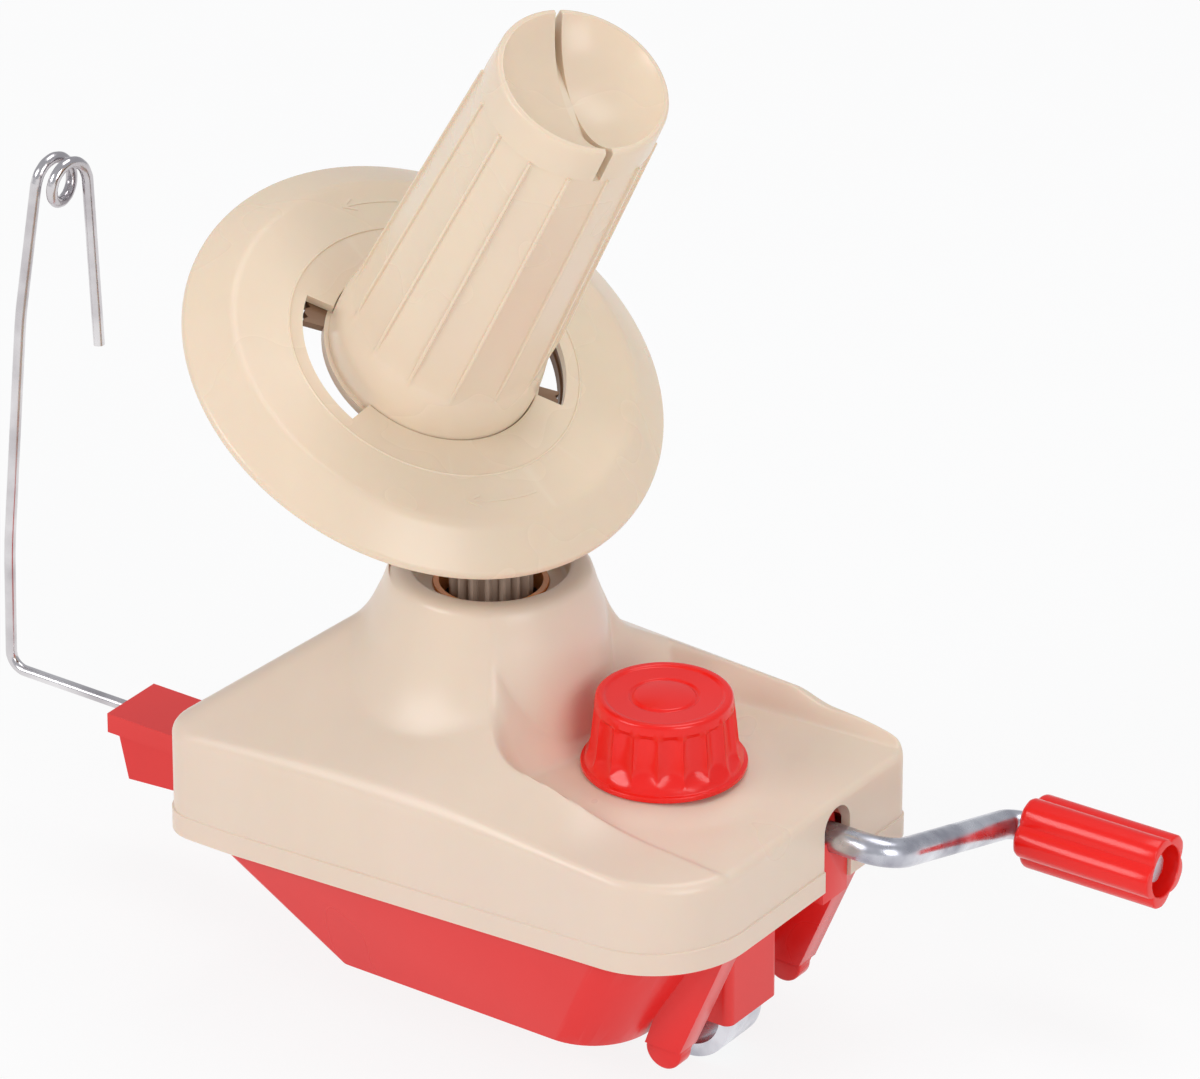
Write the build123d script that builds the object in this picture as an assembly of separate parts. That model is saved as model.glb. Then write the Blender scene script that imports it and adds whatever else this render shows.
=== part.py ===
from build123d import *
from math import acos, atan2, cos, degrees, pi, radians, sin, sqrt, tan
import os

# A hand-cranked yarn ball winder, in millimetres.
# X runs along the housing towards the crank, Y to the back, Z up.
# The origin lies on the table face of the casing, under the rotor's upright axis.

# ---- housing ----
left_end_x = -58.5
crank_end_x = 83.0
front_y = -45.0
back_y = 41.5
front_left_corner_r = 11.0
back_left_corner_r = 24.0
front_right_corner_r = 22.0
back_right_corner_r = 8.0
cover_bottom_z = 26.0
fold_z = 48.5
cover_wall = 2.2
casing_wall = 2.2
casing_floor = 2.5

# ---- tower and neck ----
tower_top_z = 73.0
tower_top_r = 29.5
neck_rim_z = 87.0
neck_rim_r = 22.3
recess_r = 17.0
recess_depth = 4.5
neck_floor_thickness = 2.5
neck_hole_r = 12.6
neck_ring_wall = 1.2
neck_ring_height = 5.5
neck_profile = [(30.5, 72.0), (26.6, 75.5), (24.6, 79.0), (23.2, 82.8)]

# ---- knob plateau sunk into the roof ----
plateau_knob_z = 51.5
plateau_end_z = 48.8
plateau_front_y = -29.5
plateau_back_y = 35.5
plateau_nose_r = 33.0
roof_stages = [(0.34, 0.33, 0.55), (0.70, 0.67, 0.8), (1.0, 1.0, 0.97)]
knob_x = 46.0

# ---- red casing under the cover ----
casing_bottom_left_x = -15.0
casing_bottom_right_x = 58.4
casing_bottom_front_y = -38.0
casing_bottom_back_y = 35.5
casing_top_left_x = -57.0
casing_top_right_x = 74.0
casing_side_inset = 3.0
deck_thickness = 2.0
deck_clearance = 0.25

# ---- screws that hold the cover on the casing ----
screw_r = 1.5
screw_head_r = 2.8
screw_boss_r = 3.6
boss_bottom_z = 20.0
screw_grip = 12.0
screw_head_height = 2.0
screw_head_depth = 5.0
screw_left_x = -8.0
screw_front_left_y = -27.0
screw_back_left_y = 26.0
screw_front_right_x = 50.0
screw_front_right_y = -31.0
screw_back_right_x = 52.0
screw_back_right_y = 28.0

# ---- rotor, tilted spool ----
apex_z = 162.0
tilt = 31.1
lean_azimuth = -13.7
shaft_r = 3.0
spindle_r = 3.0
running_clearance = 0.05
foot_bearing_height = 9.0
foot_bearing_r = 6.0
foot_flange_width = 2.6
foot_flange_thickness = 2.0

# ---- bevel pair between neck post and spool ----
post_teeth = 16
ring_teeth = 70
post_pitch_r = 8.4
post_foot_z = 72.0
post_flange_r = 15.0
post_flange_thickness = 3.0
mesh_inner_depth = 41.7
mesh_outer_depth = 45.7
bevel_addendum = 0.75
bevel_dedendum = 1.0
bevel_backlash = 0.32
post_top_gap = 0.3

# ---- crown gear, idler and pinion ----
crank_y = 13.0
crank_z = 39.2
spur_module = 1.1
pinion_teeth = 12
crown_teeth = 40
gear_face = 8.0
crown_tooth_length = 4.0
spur_addendum = 0.8
spur_dedendum = 1.15
spur_backlash = 0.3
pressure_angle = 20.0
crown_plate = 4.0
crown_hub_r = 8.0
crown_hub_length = 7.0
crown_lightening_holes = 5
crown_hole_r = 4.0
crown_hole_at_r = 13.5
cross_pin_r = 1.0
idler_post_r = 4.0
idler_pin_r = 2.5

# ---- crank ----
crank_rod_r = 3.3
crank_bend_x = 96.4
crank_bend_r = 7.0
crank_radius = 50.3
crank_drop = 16.0
grip_splay = -3.0
grip_length = 34.2
grip_r = 8.6
grip_lobes = 5
grip_lobe_depth = 1.5
grip_start = 4.8
grip_recess_depth = 5.0
grip_recess_r = 5.2
grip_pin_r = 2.6
grip_pin_stand = 1.6
grip_pin_spread = 0.5
grip_pin_head_height = 1.0
bearing_width = 8.0
slot_half_width = 4.9
slot_top_z = 47.0
inner_bearing_x = 27.0
outer_bearing_x = 70.0

# ---- dish ----
dish_flat_w = -35.3
dish_rim_w = -42.7
dish_lip_w = -44.7
dish_fold_r = 46.2
dish_rim_r = 55.4
dish_wall = 2.0
dish_ring_r = 33.4
slot_inner_r = 24.8
slot_outer_r = 30.2
slot_start = 39.2
slot_span = 66.4
spigot_clearance = 0.1
hub_plate = 1.8
hub_window_inner_r = 22.5
hub_window_margin = 2.0
hub_bearing_r = 7.0
hub_bearing_top_w = -12.5
ring_wall = 2.2
hub_screw_at_r = 33.5
hub_screw_r = 1.25
hub_screw_head_r = 2.4
hub_screw_head_height = 1.4
hub_screw_grip = 1.2
arm_gap = 0.5
arm_boss_r = 6.0
arm_boss_length = 10.5
arm_thickness = 11.0

# ---- tube ----
tube_top_w = 59.8
tube_top_r = 19.2
tube_base_r = 24.7
tube_waist_w = -24.5
tube_waist_r = 22.6
tube_wall = 2.0
collar_height = 9.0
flute_count = 14
rib_angle = -11.0
rib_width = 0.8
rib_height = 0.45
rib_fade = 6.0
bowl_depth = 9.0
yarn_slit_width = 1.6
yarn_slit_angle = 161.0
lug_thickness = 1.7
lug_span = 65.0
lug_rest_angle = -15.3
lug_r = 29.4
lug_gap = 0.2
lug_serration_pitch = 3.0
lug_serration_depth = 0.9

# ---- clamp ----
knob_r = 18.2
knob_top_r = 14.7
knob_height = 18.0
knob_flange_height = 3.2
knob_flutes = 18
knob_flute_r = 3.2
knob_flute_depth = 0.9
knob_gap = 0.6
knob_seat_margin = 1.2
knob_socket_depth = 8.0
knob_wall = 2.5
knob_core_r = 5.5
knob_groove_r = 7.6
knob_groove_width = 1.0
knob_groove_depth = 0.6
knob_dome_height = 1.2
clamp_screw_r = 3.0
screw_in_knob = 12.0
hook_width = 12.0
hook_thickness = 3.0
hook_outer_x = 68.0
hook_bend_r = 11.75
hook_bend_z = -3.0
hook_tip_z = -2.3
hook_channel_gap = 1.0
hook_top_z = 45.0
hook_end_x = 39.5
hook_travel = 25.0
nut_height = 5.0
nut_width = 10.0
guide_block_x0 = 58.5
guide_block_x1 = 70.0
guide_block_half_width = 9.4
guide_block_bottom_z = -2.0
guide_clearance = 0.3

# ---- edge stops ----
stop_y = 23.0
sleeve_half_thickness = 3.2
stop_half_thickness = 2.2
sleeve_bottom_z = -0.9
sleeve_bottom_x0 = 59.3
sleeve_bottom_x1 = 68.5
sleeve_top_x0 = 68.5
sleeve_top_x1 = 79.8
stop_drop = 1.2
stop_insert = 14.0

# ---- guide wire and its arm ----
arm_left_x = -101.0
arm_top_z = 21.6
arm_flange_thickness = 4.8
arm_half_width = 8.6
arm_web_half_width = 6.4
arm_tail_x = -38.0
wire_r = 1.3
wire_z = 19.2
wire_tail_x = -84.0
wire_bend_x = -135.4
wire_bend_r = 4.0
eye_r = 5.0
eye_pitch = 4.4
eye_z = 144.0
wire_leg_z = 103.0

# ---- worked-out places ----
deg_post = degrees(atan2(sin(radians(tilt)), ring_teeth / post_teeth - cos(radians(tilt))))
deg_ring = deg_post + tilt
spur_pitch_r = spur_module * pinion_teeth / 2
crown_pitch_r = spur_module * crown_teeth / 2
idler_y = crank_y
idler_x = sqrt((2 * spur_pitch_r) ** 2 - idler_y ** 2)
crown_face_x = idler_x + spur_pitch_r
mesh_z = crank_z + crown_pitch_r
gear_bottom_z = mesh_z - gear_face / 2
gear_top_z = mesh_z + gear_face / 2
dish_under_w = dish_flat_w - dish_wall
lug_top_w = dish_under_w - lug_gap
lug_bottom_w = lug_top_w - lug_thickness
hub_top_w = lug_bottom_w - lug_gap
hub_bottom_w = hub_top_w - hub_plate
post_top_z = apex_z - mesh_inner_depth / cos(radians(deg_ring)) * cos(radians(deg_post)) - post_top_gap
carrier_top_w = hub_bottom_w - arm_gap
deck_bottom_z = cover_bottom_z
grip_floor = grip_length - grip_recess_depth

lean = Plane(
    origin=(0, 0, apex_z),
    x_dir=(
        cos(radians(tilt)) * cos(radians(lean_azimuth)),
        cos(radians(tilt)) * sin(radians(lean_azimuth)),
        -sin(radians(tilt)),
    ),
    z_dir=(
        sin(radians(tilt)) * cos(radians(lean_azimuth)),
        sin(radians(tilt)) * sin(radians(lean_azimuth)),
        cos(radians(tilt)),
    ),
)


# ---- small helpers ----
def block(x0, x1, y0, y1, z0, z1):
    return Pos((x0 + x1) / 2, (y0 + y1) / 2, (z0 + z1) / 2) * Box(x1 - x0, y1 - y0, z1 - z0)


def post(radius, z0, z1, x=0.0, y=0.0):
    return Pos(x, y, (z0 + z1) / 2) * Cylinder(radius, z1 - z0)


def rod_x(radius, x0, x1, y, z):
    return Pos((x0 + x1) / 2, y, z) * Rot(0, 90, 0) * Cylinder(radius, x1 - x0)


def ring(outer_r, inner_r, z0, z1):
    return post(outer_r, z0, z1) - post(inner_r, z0 - 1, z1 + 1)


def turned(points):
    """A body of revolution about Z from (radius, height) points."""
    return revolve(make_face(Plane.XZ * Polyline(*points, close=True)), Axis.Z)


def sector(inner_r, outer_r, start, span, z0, z1):
    """Part of a flat ring between two radii, over an angle."""
    steps = max(2, int(span / 60) + 1)
    wedge = [(0, 0)]
    for i in range(steps + 1):
        a = radians(start + span * i / steps)
        wedge.append((2 * outer_r * cos(a), 2 * outer_r * sin(a)))
    slice_of = Pos(0, 0, z0 - 1) * extrude(make_face(Polyline(*wedge, close=True)), z1 - z0 + 2)
    return ring(outer_r, inner_r, z0, z1) & slice_of


def four_corner_face(x0, x1, y0, y1, radii, z):
    """A rectangle with its own radius at front-left, front-right, back-right, back-left."""
    corners = [(x0, y0), (x1, y0), (x1, y1), (x0, y1)]
    face = make_face(Polyline(*corners, close=True))
    for (cx, cy), r in zip(corners, radii):
        vertex = face.vertices().sort_by_distance((cx, cy, 0))[0]
        face = fillet(vertex, r)
    return Pos(0, 0, z) * face


def gear_points(teeth, pitch_r, addendum, dedendum, backlash, phase):
    """Involute tooth outline; a tooth is centred at the phase angle."""
    base_r = pitch_r * cos(radians(pressure_angle))
    root_r = pitch_r - dedendum
    tip_r = pitch_r + addendum
    start_r = max(base_r, root_r)
    half = pi / (2 * teeth) - backlash / (2 * pitch_r)
    at_pitch = tan(radians(pressure_angle)) - radians(pressure_angle)

    def half_angle(r):
        a = acos(min(1.0, base_r / r))
        return half + at_pitch - (tan(a) - a)

    radii = [start_r + (tip_r - start_r) * i / 3 for i in range(4)]
    flank = [(root_r, half_angle(start_r))] if root_r < start_r - 0.01 else []
    flank += [(r, half_angle(r)) for r in radii]
    points = []
    for k in range(teeth):
        centre = radians(phase) + 2 * pi * k / teeth
        for r, h in flank:
            points.append((r * cos(centre - h), r * sin(centre - h)))
        for r, h in reversed(flank):
            points.append((r * cos(centre + h), r * sin(centre + h)))
    return points


def spur_gear(phase, x, y):
    points = gear_points(
        pinion_teeth,
        spur_pitch_r,
        spur_addendum * spur_module,
        spur_dedendum * spur_module,
        spur_backlash,
        phase,
    )
    face = make_face(Polyline(*points, close=True))
    return Pos(x, y, gear_bottom_z) * extrude(face, gear_face)


# ---- top cover ----
def plan_face(inset, z):
    radii = [
        max(1.0, front_left_corner_r - inset),
        max(1.0, front_right_corner_r - inset),
        max(1.0, back_right_corner_r - inset),
        max(1.0, back_left_corner_r - inset),
    ]
    return four_corner_face(
        left_end_x + inset, crank_end_x - inset, front_y + inset, back_y - inset, radii, z
    )


def roof_face(share, height, roundness, inset):
    """Outline of the roof part way up, from the fold (share 0) to the tower (share 1)."""
    r = tower_top_r - inset
    x0 = (left_end_x + inset) * (1 - share) - r * share
    x1 = (crank_end_x - inset) * (1 - share) + r * share
    y0 = (front_y + inset) * (1 - share) - r * share
    y1 = (back_y - inset) * (1 - share) + r * share
    corner = roundness * min(x1 - x0, y1 - y0) / 2
    z = fold_z + (tower_top_z - fold_z) * height - inset
    return four_corner_face(x0, x1, y0, y1, [corner] * 4, z)


def cover_body(inset):
    """Band, sloped roof, tower and neck, less the knob plateau; inset makes the inner skin."""
    band = extrude(plan_face(inset, cover_bottom_z - inset), fold_z - cover_bottom_z)
    stages = [plan_face(inset, fold_z - inset)]
    for share, height, roundness in roof_stages:
        stages.append(roof_face(share, height, roundness, inset))
    roof = loft(stages, ruled=True)
    neck = turned(
        [
            (0, fold_z - inset),
            (tower_top_r - inset, fold_z - inset),
            (tower_top_r - inset, tower_top_z - inset),
            *[(r - inset, z - inset) for r, z in neck_profile[1:]],
            (neck_rim_r - inset, neck_rim_z - inset),
            (0, neck_rim_z - inset),
        ]
    )
    slope = (plateau_knob_z - plateau_end_z) / (crank_end_x - knob_x)
    x0 = tower_top_r * 0.5
    x1 = crank_end_x + 20
    pocket_side = make_face(
        Plane.XZ
        * Polyline(
            (x0, plateau_end_z + slope * (crank_end_x - x0) - inset),
            (x1, plateau_end_z - slope * (x1 - crank_end_x) - inset),
            (x1, neck_rim_z + 10),
            (x0, neck_rim_z + 10),
            close=True,
        )
    )
    pocket = extrude(
        Pos(0, plateau_back_y + inset, 0) * pocket_side,
        plateau_back_y - plateau_front_y + 2 * inset,
    )
    nose = turned(
        [
            (0, fold_z - 10),
            (plateau_nose_r + 2 - inset, fold_z - 10),
            (plateau_nose_r - inset, plateau_knob_z),
            (tower_top_r - inset, tower_top_z),
            (tower_top_r - inset, neck_rim_z + 12),
            (0, neck_rim_z + 12),
        ]
    )
    return band + (roof - (pocket - nose)) + neck


def make_top_cover():
    outer = cover_body(0)
    cover = outer - cover_body(cover_wall)
    recess_floor = neck_rim_z - recess_depth
    cover += post(neck_rim_r - 1, recess_floor - neck_floor_thickness, recess_floor) & outer
    cover += ring(post_flange_r + 4, post_flange_r + 0.2, post_foot_z - 1, recess_floor)
    cover -= post(recess_r, recess_floor, neck_rim_z + 1)
    cover -= post(neck_hole_r, recess_floor - neck_floor_thickness - 1, recess_floor + 1)
    slot = block(
        crank_end_x - 9,
        crank_end_x + 1,
        crank_y - slot_half_width,
        crank_y + slot_half_width,
        cover_bottom_z - 5,
        slot_top_z - slot_half_width,
    )
    arch_z = slot_top_z - slot_half_width
    slot += rod_x(slot_half_width, crank_end_x - 9, crank_end_x + 1, crank_y, arch_z)
    cover -= slot
    for x, y in screw_places():
        boss = post(screw_boss_r, boss_bottom_z, neck_rim_z, x, y) & outer
        cover += boss
        cover -= post(screw_r, boss_bottom_z - 1, boss_bottom_z + screw_grip, x, y)
    cover -= post(clamp_screw_r + 0.4, fold_z - 10, neck_rim_z, knob_x, 0)
    cover -= post(knob_r + knob_seat_margin, plateau_knob_z, neck_rim_z, knob_x, 0)
    return cover


# ---- casing screws ----
def screw_places():
    return [
        (screw_left_x, screw_front_left_y),
        (screw_left_x, screw_back_left_y),
        (screw_front_right_x, screw_front_right_y),
        (screw_back_right_x, screw_back_right_y),
    ]


def make_cover_screws():
    screws = []
    for x, y in screw_places():
        screw = post(screw_r, screw_head_depth, boss_bottom_z + screw_grip, x, y)
        screw += post(screw_head_r, screw_head_depth - screw_head_height, screw_head_depth, x, y)
        screws.append(screw)
    return Compound(screws)


# ---- red casing ----
def casing_body(inset, z_low):
    low = four_corner_face(
        casing_bottom_left_x + inset,
        casing_bottom_right_x - inset,
        casing_bottom_front_y + inset,
        casing_bottom_back_y - inset,
        [3, 15, 12, 6],
        z_low,
    )
    high = four_corner_face(
        casing_top_left_x + inset,
        casing_top_right_x - inset,
        front_y + casing_side_inset + inset,
        back_y - casing_side_inset - inset,
        [8, front_right_corner_r - 4, 10, back_left_corner_r - 4],
        cover_bottom_z,
    )
    return loft([low, high], ruled=True)


def sleeve_face():
    """Side view of one slanted leg in X and Z."""
    return make_face(
        Plane.XZ
        * Polyline(
            (sleeve_bottom_x0, sleeve_bottom_z),
            (sleeve_bottom_x1, sleeve_bottom_z),
            (sleeve_top_x1, cover_bottom_z),
            (sleeve_top_x0, cover_bottom_z),
            close=True,
        )
    )


def stop_solid(side):
    """A tongue that fills the sleeve and ends in a half round below it."""
    wall = 1.4
    leg_slope = (sleeve_top_x1 - sleeve_bottom_x1) / (cover_bottom_z - sleeve_bottom_z)
    left_slope = (sleeve_top_x0 - sleeve_bottom_x0) / (cover_bottom_z - sleeve_bottom_z)
    top_z = sleeve_bottom_z + stop_insert
    low_z = sleeve_bottom_z - stop_drop
    x0 = sleeve_bottom_x0 - left_slope * stop_drop
    x1 = sleeve_bottom_x1 - leg_slope * stop_drop
    shank = Polyline(
        (sleeve_bottom_x0 + wall, sleeve_bottom_z),
        (sleeve_bottom_x1 - wall, sleeve_bottom_z),
        (sleeve_bottom_x1 - wall + leg_slope * stop_insert, top_z),
        (sleeve_bottom_x0 + wall + left_slope * stop_insert, top_z),
        close=True,
    )
    foot = Polyline(
        (sleeve_bottom_x0, sleeve_bottom_z),
        (x0, low_z),
        (x1, low_z),
        (sleeve_bottom_x1, sleeve_bottom_z),
        close=True,
    )
    y = side * stop_y + stop_half_thickness
    thick = 2 * stop_half_thickness
    body = extrude(Pos(0, y, 0) * make_face(Plane.XZ * shank), thick)
    body += extrude(Pos(0, y, 0) * make_face(Plane.XZ * foot), thick)
    tip_r = (x1 - x0) / 2
    tip = Pos((x0 + x1) / 2, side * stop_y, low_z) * Rot(90, 0, 0) * Cylinder(tip_r, thick)
    body += tip & block(x0 - 5, x1 + 5, side * stop_y - 9, side * stop_y + 9, low_z - tip_r - 1, low_z)
    return body


def guide_block_outline():
    return block(
        guide_block_x0,
        guide_block_x1,
        -guide_block_half_width,
        guide_block_half_width,
        guide_block_bottom_z,
        cover_bottom_z + 0.5,
    )


def make_base_shell():
    shell = casing_body(0, 0) - casing_body(casing_wall, casing_floor)
    deck = extrude(plan_face(cover_wall + deck_clearance, deck_bottom_z), deck_thickness)
    shell = shell - block(-90, 90, -60, 60, cover_bottom_z, 90) + deck
    inside = four_corner_face(
        casing_top_left_x + casing_wall,
        casing_top_right_x - casing_wall,
        front_y + casing_side_inset + casing_wall,
        back_y - casing_side_inset - casing_wall,
        [8, 14, 8, 14],
        cover_bottom_z - 0.5,
    )
    shell -= extrude(inside, deck_thickness + 2)
    for side in (-1, 1):
        sleeve_y = side * stop_y + sleeve_half_thickness
        sleeve = extrude(Pos(0, sleeve_y, 0) * sleeve_face(), 2 * sleeve_half_thickness)
        shell += sleeve - casing_body(casing_wall, casing_floor)
    for x, y in screw_places():
        shell += post(screw_boss_r + 0.6, 1, boss_bottom_z, x, y)
        shell -= post(screw_r + 0.2, -1, boss_bottom_z + 1, x, y)
        shell -= post(screw_head_r + 0.3, -1, screw_head_depth, x, y)
    for side in (-1, 1):
        shell -= stop_solid(side)
    shell -= guide_block_outline()
    tongue = block(
        crank_end_x - 3.4,
        crank_end_x - 0.8,
        crank_y - slot_half_width + deck_clearance,
        crank_y + slot_half_width - deck_clearance,
        cover_bottom_z - 1.5,
        crank_z,
    )
    shell += tongue
    shell -= rod_x(crank_rod_r + running_clearance, 70, crank_end_x + 2, crank_y, crank_z)
    shell -= arm_tail_outline()
    return shell


def make_clamp_guide():
    guide = guide_block_outline()
    front_edges = guide.edges().filter_by(Axis.Z).sort_by(Axis.X)[-2:]
    guide = fillet(front_edges, 2.0)
    slit = block(
        hook_outer_x - hook_thickness - guide_clearance,
        hook_outer_x + guide_clearance,
        -hook_width / 2 - guide_clearance,
        hook_width / 2 + guide_clearance,
        guide_block_bottom_z - 1,
        cover_bottom_z + 2,
    )
    channel = block(
        guide_block_x0 - 1,
        hook_outer_x + guide_clearance,
        -hook_width / 2 - guide_clearance,
        hook_width / 2 + guide_clearance,
        hook_top_z - hook_thickness - hook_travel - hook_channel_gap,
        cover_bottom_z + 2,
    )
    return guide - slit - channel


# ---- arm that carries the guide wire ----
def arm_tail_outline():
    return block(arm_tail_x - 16, arm_tail_x, -arm_web_half_width, arm_web_half_width, 11.0, arm_top_z - 1.5)


def make_wire_arm():
    bow_x = casing_top_left_x + 1.5
    flange = block(
        arm_left_x, bow_x, -arm_half_width, arm_half_width, arm_top_z - arm_flange_thickness, arm_top_z
    )
    web = extrude(
        Pos(0, arm_web_half_width, 0)
        * make_face(
            Plane.XZ
            * Polyline(
                (arm_left_x + 1.2, arm_top_z - arm_flange_thickness),
                (arm_left_x + 4.0, 5.0),
                (bow_x + 3.0, 8.5),
                (arm_tail_x, 11.0),
                (arm_tail_x, arm_top_z - 1.5),
                (bow_x, arm_top_z - 1.5),
                (bow_x, arm_top_z - arm_flange_thickness),
                close=True,
            )
        ),
        2 * arm_web_half_width,
    )
    arm = (flange + web) - (casing_body(0, 0) - arm_tail_outline())
    arm = arm.solids().sort_by(SortBy.VOLUME)[-1]
    return arm - rod_x(wire_r + running_clearance, arm_left_x - 1, wire_tail_x + 0.5, 0, wire_z)


def wire_path():
    """Tail, upright, one and a half turns of the eye, and the open leg."""
    top_x = wire_bend_x + 11.6
    points = [(wire_tail_x, 0, wire_z), (wire_bend_x, 0, wire_z)]
    radii = [wire_bend_r]
    points.append((wire_bend_x + 0.6, 0, 50))
    radii.append(120)
    points.append((wire_bend_x + 6.0, 0, 110))
    radii.append(120)
    steps = 18
    for i in range(steps + 1):
        turn = 1.5 * 2 * pi * i / steps
        points.append(
            (top_x + eye_pitch * turn / (2 * pi), eye_r * (1 - cos(turn)), eye_z + eye_r * sin(turn))
        )
        radii.append(3.4)
    points.append((top_x + 1.5 * eye_pitch + 2.0, 2 * eye_r, wire_leg_z))
    return points, radii


def make_guide_wire():
    points, radii = wire_path()
    path = FilletPolyline(*points, radius=radii)
    section = Plane(origin=points[0], z_dir=(-1, 0, 0)) * Circle(wire_r)
    return sweep(section, path=path)


# ---- neck pieces ----
def make_neck_ring():
    top = neck_rim_z - recess_depth + 0.6
    return ring(neck_hole_r, neck_hole_r - neck_ring_wall, top - neck_ring_height, top)


def make_neck_post():
    """Fixed toothed post: straight teeth, tapered to the apex where they meet the ring gear."""
    module = 2 * post_pitch_r / post_teeth
    taper_z = apex_z - post_pitch_r / tan(radians(deg_post))
    scale_top = (apex_z - post_top_z) / (apex_z - taper_z)
    points = gear_points(
        post_teeth,
        post_pitch_r,
        bevel_addendum * module,
        bevel_dedendum * module,
        bevel_backlash,
        lean_azimuth,
    )
    low = make_face(Polyline(*points, close=True))
    high = make_face(Polyline(*[(x * scale_top, y * scale_top) for x, y in points], close=True))
    body = Pos(0, 0, post_foot_z) * extrude(low, taper_z - post_foot_z)
    body += loft([Pos(0, 0, taper_z) * low, Pos(0, 0, post_top_z) * high], ruled=True)
    body += post(post_flange_r, post_foot_z, post_foot_z + post_flange_thickness)
    return body - post(shaft_r + running_clearance, post_foot_z - 1, post_top_z + 1)


def make_foot_bearing():
    z0 = casing_floor
    body = post(foot_bearing_r, z0, z0 + foot_bearing_height)
    body += post(foot_bearing_r + foot_flange_width, z0, z0 + foot_flange_thickness)
    return body - post(shaft_r + running_clearance, z0 + 1.5, z0 + foot_bearing_height + 1)


def make_idler_post():
    shoulder_z = gear_bottom_z - 0.3
    body = post(idler_post_r, casing_floor, shoulder_z, idler_x, idler_y)
    body += post(idler_pin_r, shoulder_z, gear_top_z + 2.5, idler_x, idler_y)
    return body


def make_idler_clip():
    clip = post(idler_pin_r + 1.8, gear_top_z + 0.4, gear_top_z + 1.4, idler_x, idler_y)
    return clip - post(idler_pin_r, gear_top_z, gear_top_z + 2, idler_x, idler_y)


def crank_bearing(x0, floor_z):
    foot = block(x0, x0 + bearing_width, crank_y - 6, crank_y + 6, floor_z, crank_z)
    foot += rod_x(6, x0, x0 + bearing_width, crank_y, crank_z)
    return foot - rod_x(crank_rod_r + running_clearance, x0 - 1, x0 + bearing_width + 1, crank_y, crank_z)


# ---- crank ----
def crank_points():
    """Centre line of the rod: along X, out to the side, and out again through the grip."""
    inner_x = idler_x + idler_post_r + 0.8
    drop = radians(crank_drop)
    splay = radians(grip_splay)
    side = (0, cos(drop), -sin(drop))
    bend = (crank_bend_x, crank_y, crank_z)
    elbow = (crank_bend_x, crank_y + crank_radius * side[1], crank_z + crank_radius * side[2])
    along = (cos(splay), -sin(splay) * side[1], -sin(splay) * side[2])
    reach = grip_start + grip_floor + grip_pin_stand
    end = tuple(e + reach * a for e, a in zip(elbow, along))
    return (inner_x, crank_y, crank_z), bend, elbow, end, along


def grip_plane():
    _, _, elbow, _, along = crank_points()
    origin = tuple(e + grip_start * a for e, a in zip(elbow, along))
    return Plane(origin=origin, z_dir=along, x_dir=(0, 0, 1))


def make_crank_rod():
    inner, bend, elbow, _, along = crank_points()
    shoulder = tuple(e + (grip_start - 0.4) * a for e, a in zip(elbow, along))
    path = FilletPolyline(inner, bend, elbow, shoulder, radius=[crank_bend_r, grip_start - 0.9])
    section = Plane(origin=inner, z_dir=(1, 0, 0)) * Circle(crank_rod_r)
    rod = sweep(section, path=path)
    head_z = grip_floor + grip_pin_stand
    pin = grip_plane() * post(grip_pin_r, -0.6, head_z)
    head = grip_plane() * post(grip_pin_r + grip_pin_spread, head_z, head_z + grip_pin_head_height)
    return rod + pin + head - cross_pin_solid()


def cross_pin_solid():
    x = crown_face_x + spur_dedendum * spur_module + crown_plate + crown_hub_length / 2
    return post(cross_pin_r, crank_z - crown_hub_r - 0.5, crank_z + crown_hub_r + 0.5, x, crank_y)


def make_crown_gear():
    """Face gear on the crank rod: straight radial teeth towards the idler."""
    pitch = 2 * pi * crown_pitch_r / crown_teeth
    half = pitch / 4 - spur_backlash / 2
    add = spur_addendum * spur_module
    ded = spur_dedendum * spur_module
    flank = tan(radians(pressure_angle))
    root_x = crown_face_x + ded
    tip_x = crown_face_x - add
    low_r = crown_pitch_r - crown_tooth_length / 2
    section = Plane(origin=(0, 0, low_r), x_dir=(0, 1, 0), z_dir=(0, 0, 1)) * Polyline(
        (-half - ded * flank, -root_x),
        (half + ded * flank, -root_x),
        (half - add * flank, -tip_x),
        (-half + add * flank, -tip_x),
        close=True,
    )
    tooth = extrude(make_face(section), crown_tooth_length)
    gear = rod_x(crown_pitch_r + crown_tooth_length / 2 + 0.6, root_x, root_x + crown_plate, 0, 0)
    gear += [Rot((k + 0.5) * 360 / crown_teeth, 0, 0) * tooth for k in range(crown_teeth)]
    hub_end = root_x + crown_plate + crown_hub_length
    gear += rod_x(crown_hub_r, root_x + crown_plate, hub_end, 0, 0)
    gear -= rod_x(crank_rod_r, root_x - 5, hub_end + 1, 0, 0)
    for k in range(crown_lightening_holes):
        angle = (k + 0.5) * 360 / crown_lightening_holes
        hole = rod_x(crown_hole_r, root_x - 1, root_x + crown_plate + 1, 0, crown_hole_at_r)
        gear -= Rot(angle, 0, 0) * hole
    return Pos(0, crank_y, crank_z) * gear - cross_pin_solid()


def make_crank_grip():
    """Lobed sleeve, free on the pin, with an open recess at its outer end."""
    points = []
    steps = 8 * grip_lobes
    for i in range(steps):
        a = 2 * pi * i / steps
        r = grip_r - grip_lobe_depth * (1 - cos(grip_lobes * a)) / 2
        points.append((r * cos(a), r * sin(a)))
    outline = make_face(Spline(*points, periodic=True))
    sleeve = extrude(outline, grip_length)
    sleeve -= post(grip_pin_r + running_clearance, -1, grip_length + 1)
    sleeve -= post(grip_recess_r, grip_floor, grip_length + 1)
    return grip_plane() * sleeve


def make_grip_washer():
    z0 = grip_floor + 0.3
    washer = post(grip_pin_r + 1.6, z0, z0 + 0.8) - post(grip_pin_r, z0 - 1, z0 + 2)
    return grip_plane() * washer


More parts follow.
